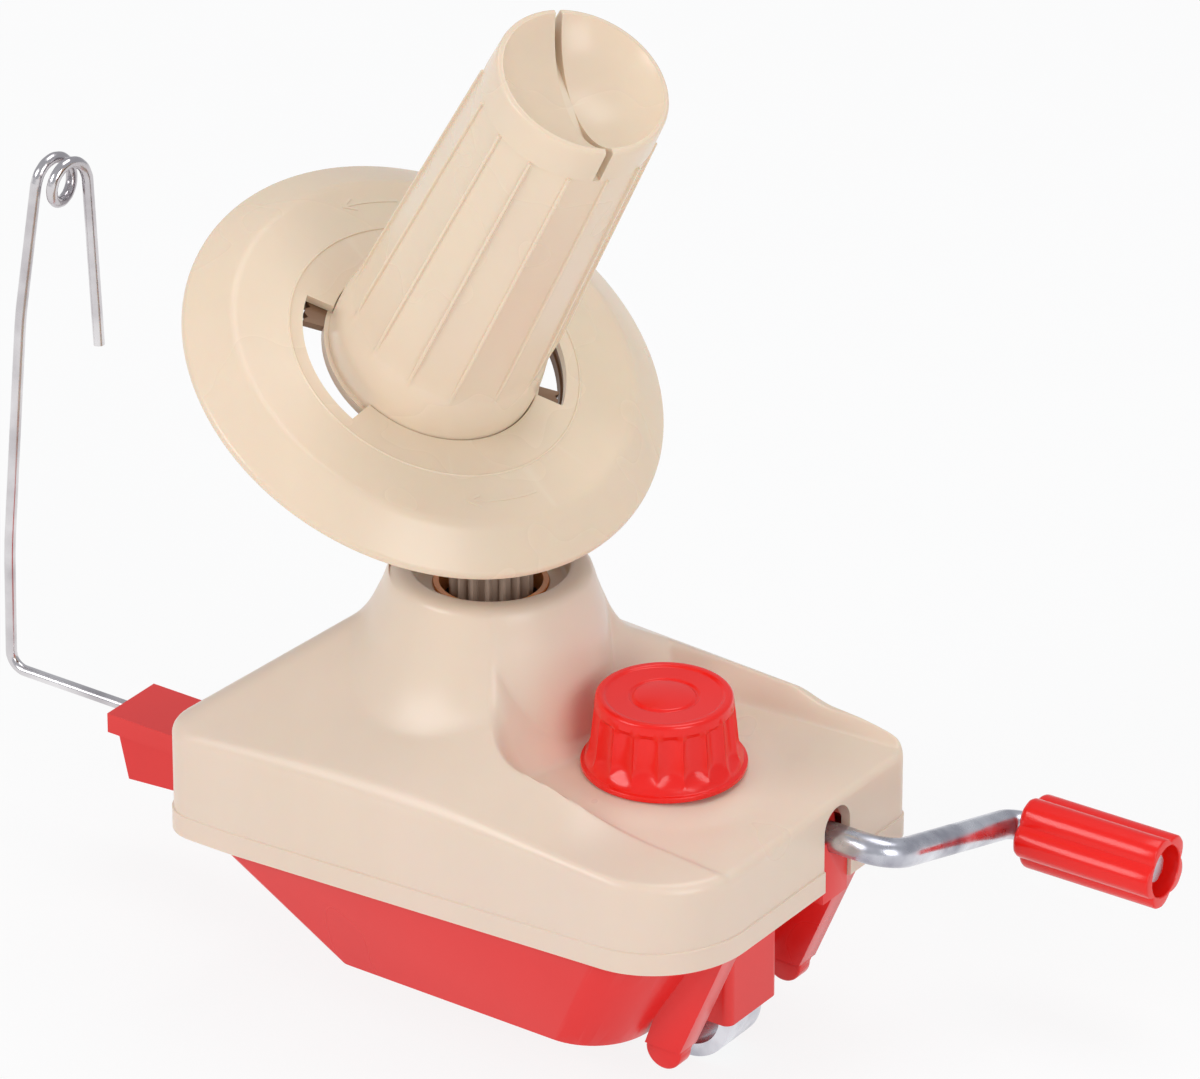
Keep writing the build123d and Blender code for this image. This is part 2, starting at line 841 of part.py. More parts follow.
# ---- spur pair ----
def make_idler_gear():
    gear = spur_gear(0, idler_x, idler_y)
    return gear - post(idler_pin_r + running_clearance, gear_bottom_z - 1, gear_top_z + 1, idler_x, idler_y)


def make_rotor_pinion():
    """Phased so that a gap faces the idler tooth beside the line of centres."""
    to_pinion = degrees(atan2(-idler_y, -idler_x))
    tooth_pitch = 360 / pinion_teeth
    ahead = round(to_pinion / tooth_pitch) * tooth_pitch - to_pinion
    phase = to_pinion + 180 - ahead + tooth_pitch / 2
    gear = spur_gear(phase, 0, 0)
    return gear - post(shaft_r, gear_bottom_z - 1, gear_top_z + 1)


# ---- rotor ----
def make_rotor_shaft():
    return post(shaft_r, casing_floor + 1.8, post_top_z + 1.8)


def make_rotor_clip():
    z0 = casing_floor + foot_bearing_height + 0.3
    return ring(shaft_r + 2.2, shaft_r, z0, z0 + 1.0)


def make_pinion_collar():
    """Plain collar that holds the pinion at its height on the shaft."""
    return ring(shaft_r + 2.0, shaft_r, gear_bottom_z - 5.0, gear_bottom_z)


def in_lean_plane(points, thickness):
    """A plate through the upright axis in the plane of the lean, from (reach, height) points."""
    plane = Plane(
        origin=(0, 0, 0),
        x_dir=(cos(radians(lean_azimuth)), sin(radians(lean_azimuth)), 0),
        z_dir=(sin(radians(lean_azimuth)), -cos(radians(lean_azimuth)), 0),
    )
    face = make_face(plane * Polyline(*points, close=True))
    return extrude(face, thickness / 2, both=True)


def on_lean(w, r):
    """Reach and height of a point at depth w and radius r (downhill positive) of the tilted axis."""
    t = radians(tilt)
    return (w * sin(t) + r * cos(t), apex_z + w * cos(t) - r * sin(t))


def make_carrier_arm():
    """Wedge that carries the tilted spindle over the neck post."""
    low_z = post_top_z + arm_gap
    t = radians(tilt)
    tip_reach = shaft_r + 1.8
    tip_top = apex_z + (carrier_top_w - tip_reach * sin(t)) / cos(t)
    arm = in_lean_plane(
        [
            (tip_reach, low_z),
            (-9.0, low_z),
            on_lean(carrier_top_w - arm_boss_length, arm_boss_r),
            on_lean(carrier_top_w - arm_boss_length, -arm_boss_r),
            on_lean(carrier_top_w, -arm_boss_r),
            (tip_reach, tip_top),
        ],
        arm_thickness,
    )
    arm += lean.location * post(arm_boss_r, carrier_top_w - arm_boss_length, carrier_top_w)
    arm -= make_rotor_shaft()
    return arm - lean.location * post(spindle_r, carrier_top_w - arm_boss_length - 2, carrier_top_w + 2)


def make_spindle():
    return lean.location * post(spindle_r, carrier_top_w - arm_boss_length, hub_bearing_top_w + 3.5)


def make_spindle_clip():
    z0 = hub_bearing_top_w + 0.4
    return lean.location * ring(spindle_r + 2.2, spindle_r, z0, z0 + 1.0)


# ---- spool: dish and ring gear hub ----
def make_dish():
    t = dish_wall
    outer = [
        (slot_inner_r, dish_flat_w),
        (dish_fold_r, dish_flat_w),
        (dish_rim_r, dish_rim_w),
        (dish_rim_r, dish_lip_w),
        (dish_rim_r - t, dish_lip_w),
        (dish_rim_r - t, dish_rim_w - 0.6),
        (dish_fold_r - 0.6, dish_under_w),
        (slot_inner_r, dish_under_w),
    ]
    dish = turned(outer)
    dish -= ring(dish_ring_r + 0.35, dish_ring_r - 0.35, dish_flat_w - 0.4, dish_flat_w + 1)
    for k in range(2):
        dish -= sector(
            slot_inner_r - 1, slot_outer_r, slot_start + 180 * k, slot_span, dish_under_w - 1, dish_flat_w + 1
        )
    for angle in hub_screw_angles():
        dish -= hub_screw_solid(angle)
    return lean.location * dish


def hub_screw_angles():
    return [slot_start - 60, slot_start + 60, slot_start + 180]


def hub_screw_solid(angle):
    screw = post(hub_screw_r, hub_bottom_w, dish_under_w + hub_screw_grip)
    screw += post(hub_screw_head_r, hub_bottom_w, hub_bottom_w + hub_screw_head_height)
    return Rot(0, 0, angle) * Pos(hub_screw_at_r, 0, 0) * screw


def make_hub_screws():
    return Compound([lean.location * hub_screw_solid(a) for a in hub_screw_angles()])


def make_ring_hub():
    """Plate under the dish with the spindle bearing, two open windows and a ring of bevel teeth."""
    tan_ring = tan(radians(deg_ring))
    cos_ring = cos(radians(deg_ring))
    module = 2 * mesh_outer_depth * tan_ring / ring_teeth
    add = bevel_addendum * module / cos_ring
    ded = bevel_dedendum * module / cos_ring
    pitch_out = mesh_outer_depth * tan_ring
    pitch_in = mesh_inner_depth * tan_ring
    scale_in = mesh_inner_depth / mesh_outer_depth
    wall_r = pitch_out + ded + ring_wall
    hub = turned(
        [
            (spindle_r + running_clearance, hub_bottom_w),
            (pitch_in + ded * scale_in, hub_bottom_w),
            (pitch_in + ded * scale_in, -mesh_inner_depth),
            (pitch_out + ded, -mesh_outer_depth),
            (wall_r, -mesh_outer_depth),
            (wall_r, dish_under_w),
            (lug_r + 1.2, dish_under_w),
            (lug_r + 1.2, hub_top_w),
            (hub_bearing_r, hub_top_w),
            (hub_bearing_r, hub_bearing_top_w),
            (spindle_r + running_clearance, hub_bearing_top_w),
        ]
    )
    half = pi * pitch_out / ring_teeth / 2 - bevel_backlash / 2
    flank = tan(radians(pressure_angle))
    root_half = half + ded * cos_ring * flank
    tip_half = half - add * cos_ring * flank
    root_r = pitch_out + ded + 0.1
    tip_r = pitch_out - add
    corners = [(root_r, -root_half), (tip_r, -tip_half), (tip_r, tip_half), (root_r, root_half)]
    low = make_face(Polyline(*corners, close=True))
    high = make_face(Polyline(*[(x * scale_in, y * scale_in) for x, y in corners], close=True))
    tooth = loft([Pos(0, 0, -mesh_outer_depth) * low, Pos(0, 0, -mesh_inner_depth) * high], ruled=True)
    hub += [Rot(0, 0, (k + 0.5) * 360 / ring_teeth) * tooth for k in range(ring_teeth)]
    for angle in hub_screw_angles():
        hub -= hub_screw_solid(angle)
    for k in range(2):
        hub -= sector(
            hub_window_inner_r,
            slot_outer_r,
            slot_start - hub_window_margin + 180 * k,
            slot_span + 2 * hub_window_margin,
            hub_bottom_w - 1,
            hub_top_w + 0.1,
        )
    return lean.location * hub


# ---- winding tube ----
def tube_radius(w):
    """Outer radius of the smooth tube wall above the waist."""
    share = (w - tube_waist_w) / (tube_top_w - tube_waist_w)
    return tube_waist_r + (tube_top_r - tube_waist_r) * share


def make_winding_tube():
    """Fluted tube with a dished top, a yarn slit and two serrated lugs under the dish."""
    collar_w = tube_top_w - collar_height
    spigot_r = slot_inner_r - spigot_clearance
    body = turned(
        [
            (0, lug_bottom_w),
            (spigot_r, lug_bottom_w),
            (spigot_r, dish_flat_w + 0.5),
            (tube_base_r, dish_flat_w + 2.5),
            ((tube_base_r + tube_waist_r) / 2 - 0.2, tube_waist_w - 5.0),
            (tube_waist_r, tube_waist_w),
            (tube_top_r, tube_top_w - 0.8),
            (tube_top_r - 0.8, tube_top_w),
            (0, tube_top_w),
        ]
    )
    body = body - panel_cutter(tube_waist_w, collar_w) + panel_prism(tube_waist_w, collar_w)
    for k in range(flute_count):
        body += Rot(0, 0, rib_angle + k * 360 / flute_count) * tube_rib(tube_waist_w, collar_w)
    panel_sink = tube_waist_r * (1 - cos(pi / flute_count))
    inner_top = tube_top_w - bowl_depth - tube_wall
    body -= turned(
        [
            (0, lug_bottom_w - 1),
            (spigot_r - tube_wall, lug_bottom_w - 1),
            (spigot_r - tube_wall, dish_flat_w),
            (tube_waist_r - tube_wall - panel_sink, tube_waist_w),
            (tube_radius(inner_top) - tube_wall - panel_sink, inner_top),
            (0, inner_top),
        ]
    )
    bowl_r = tube_top_r - 1.4
    sphere_r = (bowl_r ** 2 + bowl_depth ** 2) / (2 * bowl_depth)
    body -= Pos(0, 0, tube_top_w - bowl_depth + sphere_r) * Sphere(sphere_r)
    half = yarn_slit_width / 2
    slit = block(-tube_top_r - 1, tube_top_r + 1, -half, half, collar_w, tube_top_w + 1)
    body -= Rot(0, 0, yarn_slit_angle) * slit
    for k in range(2):
        body += serrated_lug(lug_rest_angle + 180 * k, spigot_r)
    return lean.location * body


def panel_cutter(z0, z1):
    return ring(tube_base_r + 3, tube_top_r / 2, z0, z1)


def panel_prism(z0, z1):
    """Tapered prism with one flat panel between each pair of ribs."""
    faces = []
    for z in (z0, z1):
        corner_r = tube_radius(z)
        corners = []
        for k in range(flute_count):
            a = radians(rib_angle + k * 360 / flute_count)
            corners.append((corner_r * cos(a), corner_r * sin(a)))
        faces.append(Pos(0, 0, z) * make_face(Polyline(*corners, close=True)))
    return loft(faces, ruled=True)


def tube_rib(z0, z1):
    """Thin straight rib along one corner of the panels, fading out at its lower end."""
    low_r = tube_radius(z0)
    high_r = tube_radius(z1)
    side = make_face(
        Plane.XZ
        * Polyline(
            (low_r - 1, z0),
            (low_r, z0),
            (tube_radius(z0 + rib_fade) + rib_height, z0 + rib_fade),
            (high_r + rib_height, z1),
            (high_r - 1, z1),
            close=True,
        )
    )
    return extrude(side, rib_width / 2, both=True)


def serrated_lug(start, spigot_r):
    lug = sector(spigot_r - 0.5, lug_r, start, lug_span, lug_bottom_w, lug_top_w)
    notches = int(radians(lug_span) * lug_r / lug_serration_pitch)
    for k in range(notches):
        angle = start + lug_span * (k + 0.5) / notches
        notch = Rot(0, 0, angle) * Pos(lug_r, 0, 0) * Rot(0, 0, 45)
        side = lug_serration_depth * sqrt(2)
        lug -= notch * Pos(0, 0, (lug_bottom_w + lug_top_w) / 2) * Box(side, side, lug_thickness + 2)
    return lug


# ---- clamp ----
def make_clamp_knob():
    """Fluted cap with a flange, a ring and a low dome on top, hollow underneath."""
    z0 = plateau_knob_z + knob_gap
    z1 = z0 + knob_height
    slope = (knob_r - knob_top_r) / knob_height
    knob = turned(
        [
            (0, z0),
            (knob_r, z0),
            (knob_r, z0 + knob_flange_height - 1),
            (knob_r - 1, z0 + knob_flange_height),
            (knob_top_r + 0.3, z1 - 1),
            (knob_top_r - 0.7, z1),
            (knob_groove_r, z1),
            (knob_groove_r, z1 - knob_groove_depth),
            (knob_groove_r - knob_groove_width, z1 - knob_groove_depth),
            (knob_groove_r - knob_groove_width - 0.4, z1 + 0.2),
            (0, z1 + knob_dome_height),
        ]
    )
    flute_low = z0 + knob_flange_height + 0.3
    for k in range(knob_flutes):
        low_at = knob_r - 1 + knob_flute_r - knob_flute_depth
        groove = Pos(low_at - slope * 3, 0, flute_low) * Rot(0, -degrees(atan2(slope, 1)), 0)
        cut = groove * Pos(0, 0, knob_height / 2 - 2) * Cylinder(knob_flute_r, knob_height - 6)
        knob -= Rot(0, 0, k * 360 / knob_flutes) * cut
    hollow = post(knob_top_r - knob_wall, z0 - 1, z0 + knob_socket_depth)
    knob -= hollow - post(knob_core_r, z0 - 2, z0 + knob_socket_depth + 1)
    knob = Pos(knob_x, 0, 0) * knob
    return knob - post(clamp_screw_r, z0 - 1, z0 + screw_in_knob, knob_x, 0)


def make_clamp_screw():
    low_z = hook_top_z - hook_travel - nut_height - 3.0
    return post(clamp_screw_r, low_z, plateau_knob_z + knob_gap + screw_in_knob, knob_x, 0)


def make_clamp_hook():
    """Steel strip: top leg with the nut, upright through the guide, and a J under the table edge."""
    outer_x = hook_outer_x
    t = hook_thickness
    bend_x = outer_x - hook_bend_r
    tip_x = bend_x - hook_bend_r
    top = hook_top_z
    r_out = hook_bend_r
    r_in = hook_bend_r - t
    line = [
        Line((tip_x, hook_tip_z), (tip_x, hook_bend_z)),
        ThreePointArc((tip_x, hook_bend_z), (bend_x, hook_bend_z - r_out), (outer_x, hook_bend_z)),
        Line((outer_x, hook_bend_z), (outer_x, top)),
        Line((outer_x, top), (hook_end_x, top)),
        Line((hook_end_x, top), (hook_end_x, top - t)),
        Line((hook_end_x, top - t), (outer_x - t, top - t)),
        Line((outer_x - t, top - t), (outer_x - t, hook_bend_z)),
        ThreePointArc((outer_x - t, hook_bend_z), (bend_x, hook_bend_z - r_in), (tip_x + t, hook_bend_z)),
        Line((tip_x + t, hook_bend_z), (tip_x + t, hook_tip_z)),
        Line((tip_x + t, hook_tip_z), (tip_x, hook_tip_z)),
    ]
    face = make_face([Plane.XZ * edge for edge in line])
    strip = extrude(Pos(0, hook_width / 2, 0) * face, hook_width)
    return strip - post(clamp_screw_r + 0.4, top - t - 1, top + 1, knob_x, 0)


def make_clamp_nut():
    top = hook_top_z - hook_thickness
    nut = block(
        knob_x - nut_width / 2, knob_x + nut_width / 2, -nut_width / 2, nut_width / 2, top - nut_height, top
    )
    return nut - post(clamp_screw_r + running_clearance, top - nut_height - 1, top + 1, knob_x, 0)


parts = {
    "top_cover": make_top_cover,
    "cover_screws": make_cover_screws,
    "base_shell": make_base_shell,
    "clamp_guide": make_clamp_guide,
    "edge_stop_front": lambda: stop_solid(-1),
    "edge_stop_back": lambda: stop_solid(1),
    "wire_arm": make_wire_arm,
    "guide_wire": make_guide_wire,
    "neck_ring": make_neck_ring,
    "neck_post": make_neck_post,
    "foot_bearing": make_foot_bearing,
    "idler_post": make_idler_post,
    "idler_clip": make_idler_clip,
    "crank_bearing_inner": lambda: crank_bearing(inner_bearing_x, casing_floor),
    "crank_bearing_outer": lambda: crank_bearing(outer_bearing_x, cover_bottom_z + deck_thickness),
    "crank_rod": make_crank_rod,
    "crown_gear": make_crown_gear,
    "gear_pin": cross_pin_solid,
    "grip_washer": make_grip_washer,
    "crank_grip": make_crank_grip,
    "idler_gear": make_idler_gear,
    "rotor_shaft": make_rotor_shaft,
    "rotor_pinion": make_rotor_pinion,
    "pinion_collar": make_pinion_collar,
    "rotor_clip": make_rotor_clip,
    "carrier_arm": make_carrier_arm,
    "spindle": make_spindle,
    "spindle_clip": make_spindle_clip,
    "dish": make_dish,
    "ring_hub": make_ring_hub,
    "hub_screws": make_hub_screws,
    "winding_tube": make_winding_tube,
    "clamp_knob": make_clamp_knob,
    "clamp_screw": make_clamp_screw,
    "clamp_hook": make_clamp_hook,
    "clamp_nut": make_clamp_nut,
}

os.makedirs("parts", exist_ok=True)
for name, make in parts.items():
    shape = make()
    export_step(shape, "parts/" + name + ".step")
    print(name, "volume", round(shape.volume, 1))
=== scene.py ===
import math
import bpy
from mathutils import Matrix, Vector


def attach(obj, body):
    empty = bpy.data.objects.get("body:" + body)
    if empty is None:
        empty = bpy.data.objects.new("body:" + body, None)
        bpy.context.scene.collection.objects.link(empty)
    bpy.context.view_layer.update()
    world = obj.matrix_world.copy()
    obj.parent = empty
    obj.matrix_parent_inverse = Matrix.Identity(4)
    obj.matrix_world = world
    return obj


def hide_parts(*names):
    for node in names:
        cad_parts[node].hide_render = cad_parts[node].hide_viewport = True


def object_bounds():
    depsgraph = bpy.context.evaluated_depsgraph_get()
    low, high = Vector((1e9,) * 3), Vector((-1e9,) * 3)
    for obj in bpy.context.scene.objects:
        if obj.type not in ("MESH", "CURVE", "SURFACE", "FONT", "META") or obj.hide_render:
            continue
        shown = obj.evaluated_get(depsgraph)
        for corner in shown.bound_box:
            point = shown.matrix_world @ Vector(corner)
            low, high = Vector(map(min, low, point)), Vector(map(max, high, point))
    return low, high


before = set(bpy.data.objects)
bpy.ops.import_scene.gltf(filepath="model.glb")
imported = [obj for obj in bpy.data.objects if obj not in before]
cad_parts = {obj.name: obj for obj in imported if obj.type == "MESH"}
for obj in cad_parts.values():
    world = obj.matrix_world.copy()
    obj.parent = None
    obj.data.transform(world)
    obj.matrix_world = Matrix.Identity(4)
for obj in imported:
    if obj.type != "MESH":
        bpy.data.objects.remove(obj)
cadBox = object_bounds()
mm = 0.001
print("frame loaded")


# small helpers
def deselectAll():
    if bpy.context.mode != "OBJECT":
        bpy.ops.object.mode_set(mode="OBJECT")
    bpy.ops.object.select_all(action="DESELECT")


def activate(obj):
    deselectAll()
    obj.select_set(True)
    bpy.context.view_layer.objects.active = obj


def applyModifier(obj, kind, **settings):
    activate(obj)
    modifier = obj.modifiers.new(kind.lower(), kind)
    for key, value in settings.items():
        setattr(modifier, key, value)
    bpy.ops.object.modifier_apply(modifier=modifier.name)


def mergeAndFace(obj, fillSides=0):
    # welds the seams, closes open ends and turns the faces outwards
    activate(obj)
    bpy.ops.object.mode_set(mode="EDIT")
    bpy.ops.mesh.select_all(action="SELECT")
    bpy.ops.mesh.remove_doubles(threshold=0.000002)
    if fillSides:
        bpy.ops.mesh.fill_holes(sides=fillSides)
        bpy.ops.mesh.select_all(action="SELECT")
    bpy.ops.mesh.normals_make_consistent(inside=False)
    bpy.ops.object.mode_set(mode="OBJECT")


def cutAway(obj, cutter):
    applyModifier(obj, "BOOLEAN", object=cutter, operation="DIFFERENCE", solver="EXACT")
    bpy.data.objects.remove(cutter, do_unlink=True)


def weldOn(obj, part):
    applyModifier(obj, "BOOLEAN", object=part, operation="UNION", solver="EXACT")
    bpy.data.objects.remove(part, do_unlink=True)


def gridShell(name, columns, rows, place, fillSides=0):
    # a grid wrapped round by a rule that gives each crossing its place, in millimetres
    deselectAll()
    bpy.ops.mesh.primitive_grid_add(x_subdivisions=columns, y_subdivisions=rows, size=1)
    obj = bpy.context.object
    obj.name = name
    obj.data.name = name
    for vertex in obj.data.vertices:
        column = round((vertex.co.x + 0.5) * columns)
        row = round((vertex.co.y + 0.5) * rows)
        vertex.co = Vector(place(column, row)) * mm
    mergeAndFace(obj, fillSides)
    return obj


def roundedProfile(points, arcSteps=4):
    # corners given as (r, z, rounding) become short arcs
    result = []
    for i, point in enumerate(points):
        rounding = point[2] if len(point) > 2 else 0
        if not rounding:
            result.append((point[0], point[1]))
            continue
        here = Vector(point[:2])
        before = Vector(points[i - 1][:2]) - here
        after = Vector(points[(i + 1) % len(points)][:2]) - here
        reach = min(rounding, before.length * 0.49, after.length * 0.49)
        start = here + before.normalized() * reach
        end = here + after.normalized() * reach
        for k in range(arcSteps + 1):
            t = k / arcSteps
            spot = start * (1 - t) ** 2 + here * 2 * t * (1 - t) + end * t * t
            result.append((spot.x, spot.y))
    return result


def turnProfile(name, profile, segments):
    # a closed profile of (r, z) points spun about Z makes a ring
    points = profile + profile[:1]

    def place(column, row):
        angle = 2 * math.pi * column / segments
        r, z = points[row]
        return r * math.cos(angle), r * math.sin(angle), z

    return gridShell(name, segments, len(points) - 1, place)


def arcBlock(name, innerR, outerR, low, high, start, span, steps=32):
    # part of a flat ring, used as a cutter or as a raised mark
    corners = [(innerR, low), (outerR, low), (outerR, high), (innerR, high), (innerR, low)]

    def place(column, row):
        angle = math.radians(start + span * column / steps)
        r, z = corners[row]
        return r * math.cos(angle), r * math.sin(angle), z

    return gridShell(name, steps, 4, place, fillSides=4)


def boxBetween(name, low, high):
    deselectAll()
    middle = [(a + b) / 2 * mm for a, b in zip(low, high)]
    size = [(b - a) * mm for a, b in zip(low, high)]
    bpy.ops.mesh.primitive_cube_add(size=1, location=middle, scale=size)
    obj = bpy.context.object
    obj.name = name
    settle(obj)
    return obj


def cylinderAlong(name, radius, start, end, segments=48):
    deselectAll()
    a = Vector(start) * mm
    b = Vector(end) * mm
    turn = (b - a).to_track_quat("Z", "Y").to_euler()
    bpy.ops.mesh.primitive_cylinder_add(
        vertices=segments, radius=radius * mm, depth=(b - a).length, location=(a + b) / 2, rotation=turn
    )
    obj = bpy.context.object
    obj.name = name
    settle(obj)
    return obj


def settle(obj):
    activate(obj)
    bpy.ops.object.transform_apply(location=True, rotation=True, scale=True)


def placeBy(obj, matrix):
    obj.data.transform(matrix)
    obj.data.update()


def cadCopy(node, name):
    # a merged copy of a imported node's own mesh
    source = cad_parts[node]
    mesh = source.data.copy()
    mesh.name = name
    mesh.materials.clear()
    obj = bpy.data.objects.new(name, mesh)
    bpy.context.collection.objects.link(obj)
    activate(obj)
    bpy.ops.object.mode_set(mode="EDIT")
    bpy.ops.mesh.select_all(action="SELECT")
    bpy.ops.mesh.remove_doubles(threshold=0.000005)
    bpy.ops.mesh.dissolve_limited(angle_limit=math.radians(1.5))
    bpy.ops.object.mode_set(mode="OBJECT")
    return obj


def softenedCopy(node, name, width, segments=3, sharp=32):
    obj = cadCopy(node, name)
    applyModifier(
        obj, "BEVEL", width=width * mm, segments=segments, limit_method="ANGLE",
        angle_limit=math.radians(sharp), use_clamp_overlap=True, miter_outer="MITER_ARC",
    )
    return obj


def finishPiece(obj, body, nodes, material, smooth=35):
    activate(obj)
    bpy.ops.object.shade_smooth_by_angle(angle=math.radians(smooth))
    obj.data.materials.clear()
    obj.data.materials.append(material)
    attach(obj, body)
    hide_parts(*nodes)
    print("made", obj.name, len(obj.data.polygons), "faces")


def mixUp(a, b, t):
    return a + (b - a) * t


def smoothStep(low, high, value):
    t = min(1.0, max(0.0, (value - low) / (high - low)))
    return t * t * (3 - 2 * t)


def blendMax(a, b, width):
    h = max(width - abs(a - b), 0) / width
    return max(a, b) + h * h * width / 4


def blendMin(a, b, width):
    return -blendMax(-a, -b, width)


def alongTable(table, x):
    # straight-line reading of a short list of (x, value) pairs
    if x <= table[0][0]:
        return table[0][1]
    for (x0, y0), (x1, y1) in zip(table, table[1:]):
        if x <= x1:
            return mixUp(y0, y1, (x - x0) / (x1 - x0))
    return table[-1][1]


# materials
def startMaterial(name):
    material = bpy.data.materials.new(name)
    material.use_nodes = True
    nodes = material.node_tree.nodes
    links = material.node_tree.links
    shader = nodes["Principled BSDF"]
    place = nodes.new("ShaderNodeTexCoord")
    return material, nodes, links, shader, place.outputs["Object"]


def noiseOf(nodes, links, place, scale, detail=4, stretch=None):
    noise = nodes.new("ShaderNodeTexNoise")
    noise.inputs["Scale"].default_value = scale
    noise.inputs["Detail"].default_value = detail
    if stretch:
        mapping = nodes.new("ShaderNodeMapping")
        mapping.inputs["Scale"].default_value = stretch
        links.new(place, mapping.inputs["Vector"])
        links.new(mapping.outputs["Vector"], noise.inputs["Vector"])
    else:
        links.new(place, noise.inputs["Vector"])
    return noise.outputs["Fac"]


def rampOf(nodes, links, value, stops):
    ramp = nodes.new("ShaderNodeValToRGB")
    elements = ramp.color_ramp.elements
    while len(elements) < len(stops):
        elements.new(0.5)
    for element, (position, colour) in zip(elements, stops):
        element.position = position
        element.color = (*colour, 1)
    links.new(value, ramp.inputs["Fac"])
    return ramp.outputs["Color"]


def rangeOf(nodes, links, value, low, high, fromLow=0.3, fromHigh=0.7):
    node = nodes.new("ShaderNodeMapRange")
    node.inputs["From Min"].default_value = fromLow
    node.inputs["From Max"].default_value = fromHigh
    node.inputs["To Min"].default_value = low
    node.inputs["To Max"].default_value = high
    links.new(value, node.inputs["Value"])
    return node.outputs["Result"]


def bumpOf(nodes, links, height, strength, distance):
    bump = nodes.new("ShaderNodeBump")
    bump.inputs["Strength"].default_value = strength
    bump.inputs["Distance"].default_value = distance
    links.new(height, bump.inputs["Height"])
    return bump.outputs["Normal"]


def mouldedPlastic(name, colour, drift, gloss, worn, scuff=0.5, bleed=0.0):
    # moulded plastic: slow clouds of colour, faint flow lines, a fine skin and slightly paler edges
    material, nodes, links, shader, place = startMaterial(name)
    cloud = noiseOf(nodes, links, place, 16.0, 2)
    base = rampOf(nodes, links, cloud, [(0.3, colour), (0.7, drift)])
    flow = noiseOf(nodes, links, place, 60.0, 3, (1.0, 1.0, 0.25))
    tone = nodes.new("ShaderNodeHueSaturation")
    links.new(base, tone.inputs["Color"])
    links.new(rangeOf(nodes, links, flow, 0.985, 1.015), tone.inputs["Value"])
    rub = nodes.new("ShaderNodeNewGeometry")
    edge = rangeOf(nodes, links, rub.outputs["Pointiness"], 0.0, 0.35, 0.52, 0.64)
    wear = nodes.new("ShaderNodeMix")
    wear.data_type = "RGBA"
    links.new(edge, wear.inputs["Factor"])
    links.new(tone.outputs["Color"], wear.inputs["A"])
    wear.inputs["B"].default_value = (*worn, 1)
    links.new(wear.outputs["Result"], shader.inputs["Base Color"])
    handled = noiseOf(nodes, links, place, 28.0, 2)
    links.new(rangeOf(nodes, links, handled, gloss, gloss + 0.05), shader.inputs["Roughness"])
    skin = noiseOf(nodes, links, place, 420.0, 2)
    links.new(bumpOf(nodes, links, skin, 0.1 * scuff, 0.0001), shader.inputs["Normal"])
    shader.inputs["Specular IOR Level"].default_value = 0.42
    shader.inputs["Subsurface Weight"].default_value = bleed
    shader.inputs["Subsurface Scale"].default_value = 0.003
    return material


def platedMetal(name, dark, pale, gloss, blotch, streak):
    # plated steel: cloudy plating, fine drawn streaks and a little dulling
    material, nodes, links, shader, place = startMaterial(name)
    cloud = noiseOf(nodes, links, place, blotch, 6)
    links.new(rampOf(nodes, links, cloud, [(0.32, dark), (0.66, pale)]), shader.inputs["Base Color"])
    shader.inputs["Metallic"].default_value = 1.0
    dull = noiseOf(nodes, links, place, blotch * 2.3, 5)
    links.new(rangeOf(nodes, links, dull, gloss, gloss + 0.16), shader.inputs["Roughness"])
    drawn = noiseOf(nodes, links, place, 900.0, 3, streak)
    links.new(bumpOf(nodes, links, drawn, 0.18, 0.00008), shader.inputs["Normal"])
    return material


plasticLooks = {
    "creamPlastic": {
        "colour": (0.79, 0.64, 0.498), "drift": (0.79, 0.628, 0.512),
        "gloss": 0.27, "worn": (0.86, 0.75, 0.61), "bleed": 0.2,
    },
    "warmCream": {
        "colour": (0.81, 0.662, 0.485), "drift": (0.81, 0.652, 0.498),
        "gloss": 0.24, "worn": (0.86, 0.76, 0.60), "bleed": 0.2,
    },
    "redPlastic": {
        "colour": (0.75, 0.013, 0.011), "drift": (0.79, 0.019, 0.017),
        "gloss": 0.26, "worn": (0.88, 0.09, 0.08), "scuff": 0.8,
    },
    "knobPlastic": {
        "colour": (0.84, 0.008, 0.005), "drift": (0.86, 0.014, 0.009),
        "gloss": 0.18, "worn": (0.87, 0.03, 0.02), "scuff": 0.6,
    },
    "gearPlastic": {
        "colour": (0.20, 0.105, 0.052), "drift": (0.22, 0.12, 0.065),
        "gloss": 0.42, "worn": (0.34, 0.22, 0.14), "scuff": 1.0,
    },
    # the neck post's brown gear plastic, painted much paler: painted light standing in for light reaching the shaded
    # recess
    "paintedLitPostPlastic": {
        "colour": (0.44, 0.34, 0.27), "drift": (0.50, 0.40, 0.33),
        "gloss": 0.4, "worn": (0.6, 0.5, 0.44), "scuff": 1.0,
    },
    "bearingPlastic": {
        "colour": (0.62, 0.60, 0.55), "drift": (0.60, 0.57, 0.52),
        "gloss": 0.4, "worn": (0.75, 0.73, 0.7),
    },
    "amberPlastic": {
        "colour": (0.78, 0.28, 0.07), "drift": (0.70, 0.24, 0.055),
        "gloss": 0.2, "worn": (0.8, 0.4, 0.18), "bleed": 0.2,
    },
}
plastics = {name: mouldedPlastic(name, **look) for name, look in plasticLooks.items()}
platedSteel = platedMetal("platedSteel", (0.36, 0.36, 0.42), (0.78, 0.79, 0.84), 0.2, 95.0, (0.15, 1.0, 1.0))
brightWire = platedMetal("brightWire", (0.50, 0.47, 0.49), (0.80, 0.78, 0.79), 0.12, 60.0, (1.0, 1.0, 0.12))
finishes = {
    "cream_plastic": plastics["creamPlastic"],
    "red_plastic": plastics["redPlastic"],
    "gear_plastic": plastics["gearPlastic"],
    "bearing_plastic": plastics["bearingPlastic"],
    "amber_plastic": plastics["amberPlastic"],
    "plated_steel": platedSteel,
    "bright_wire": brightWire,
}
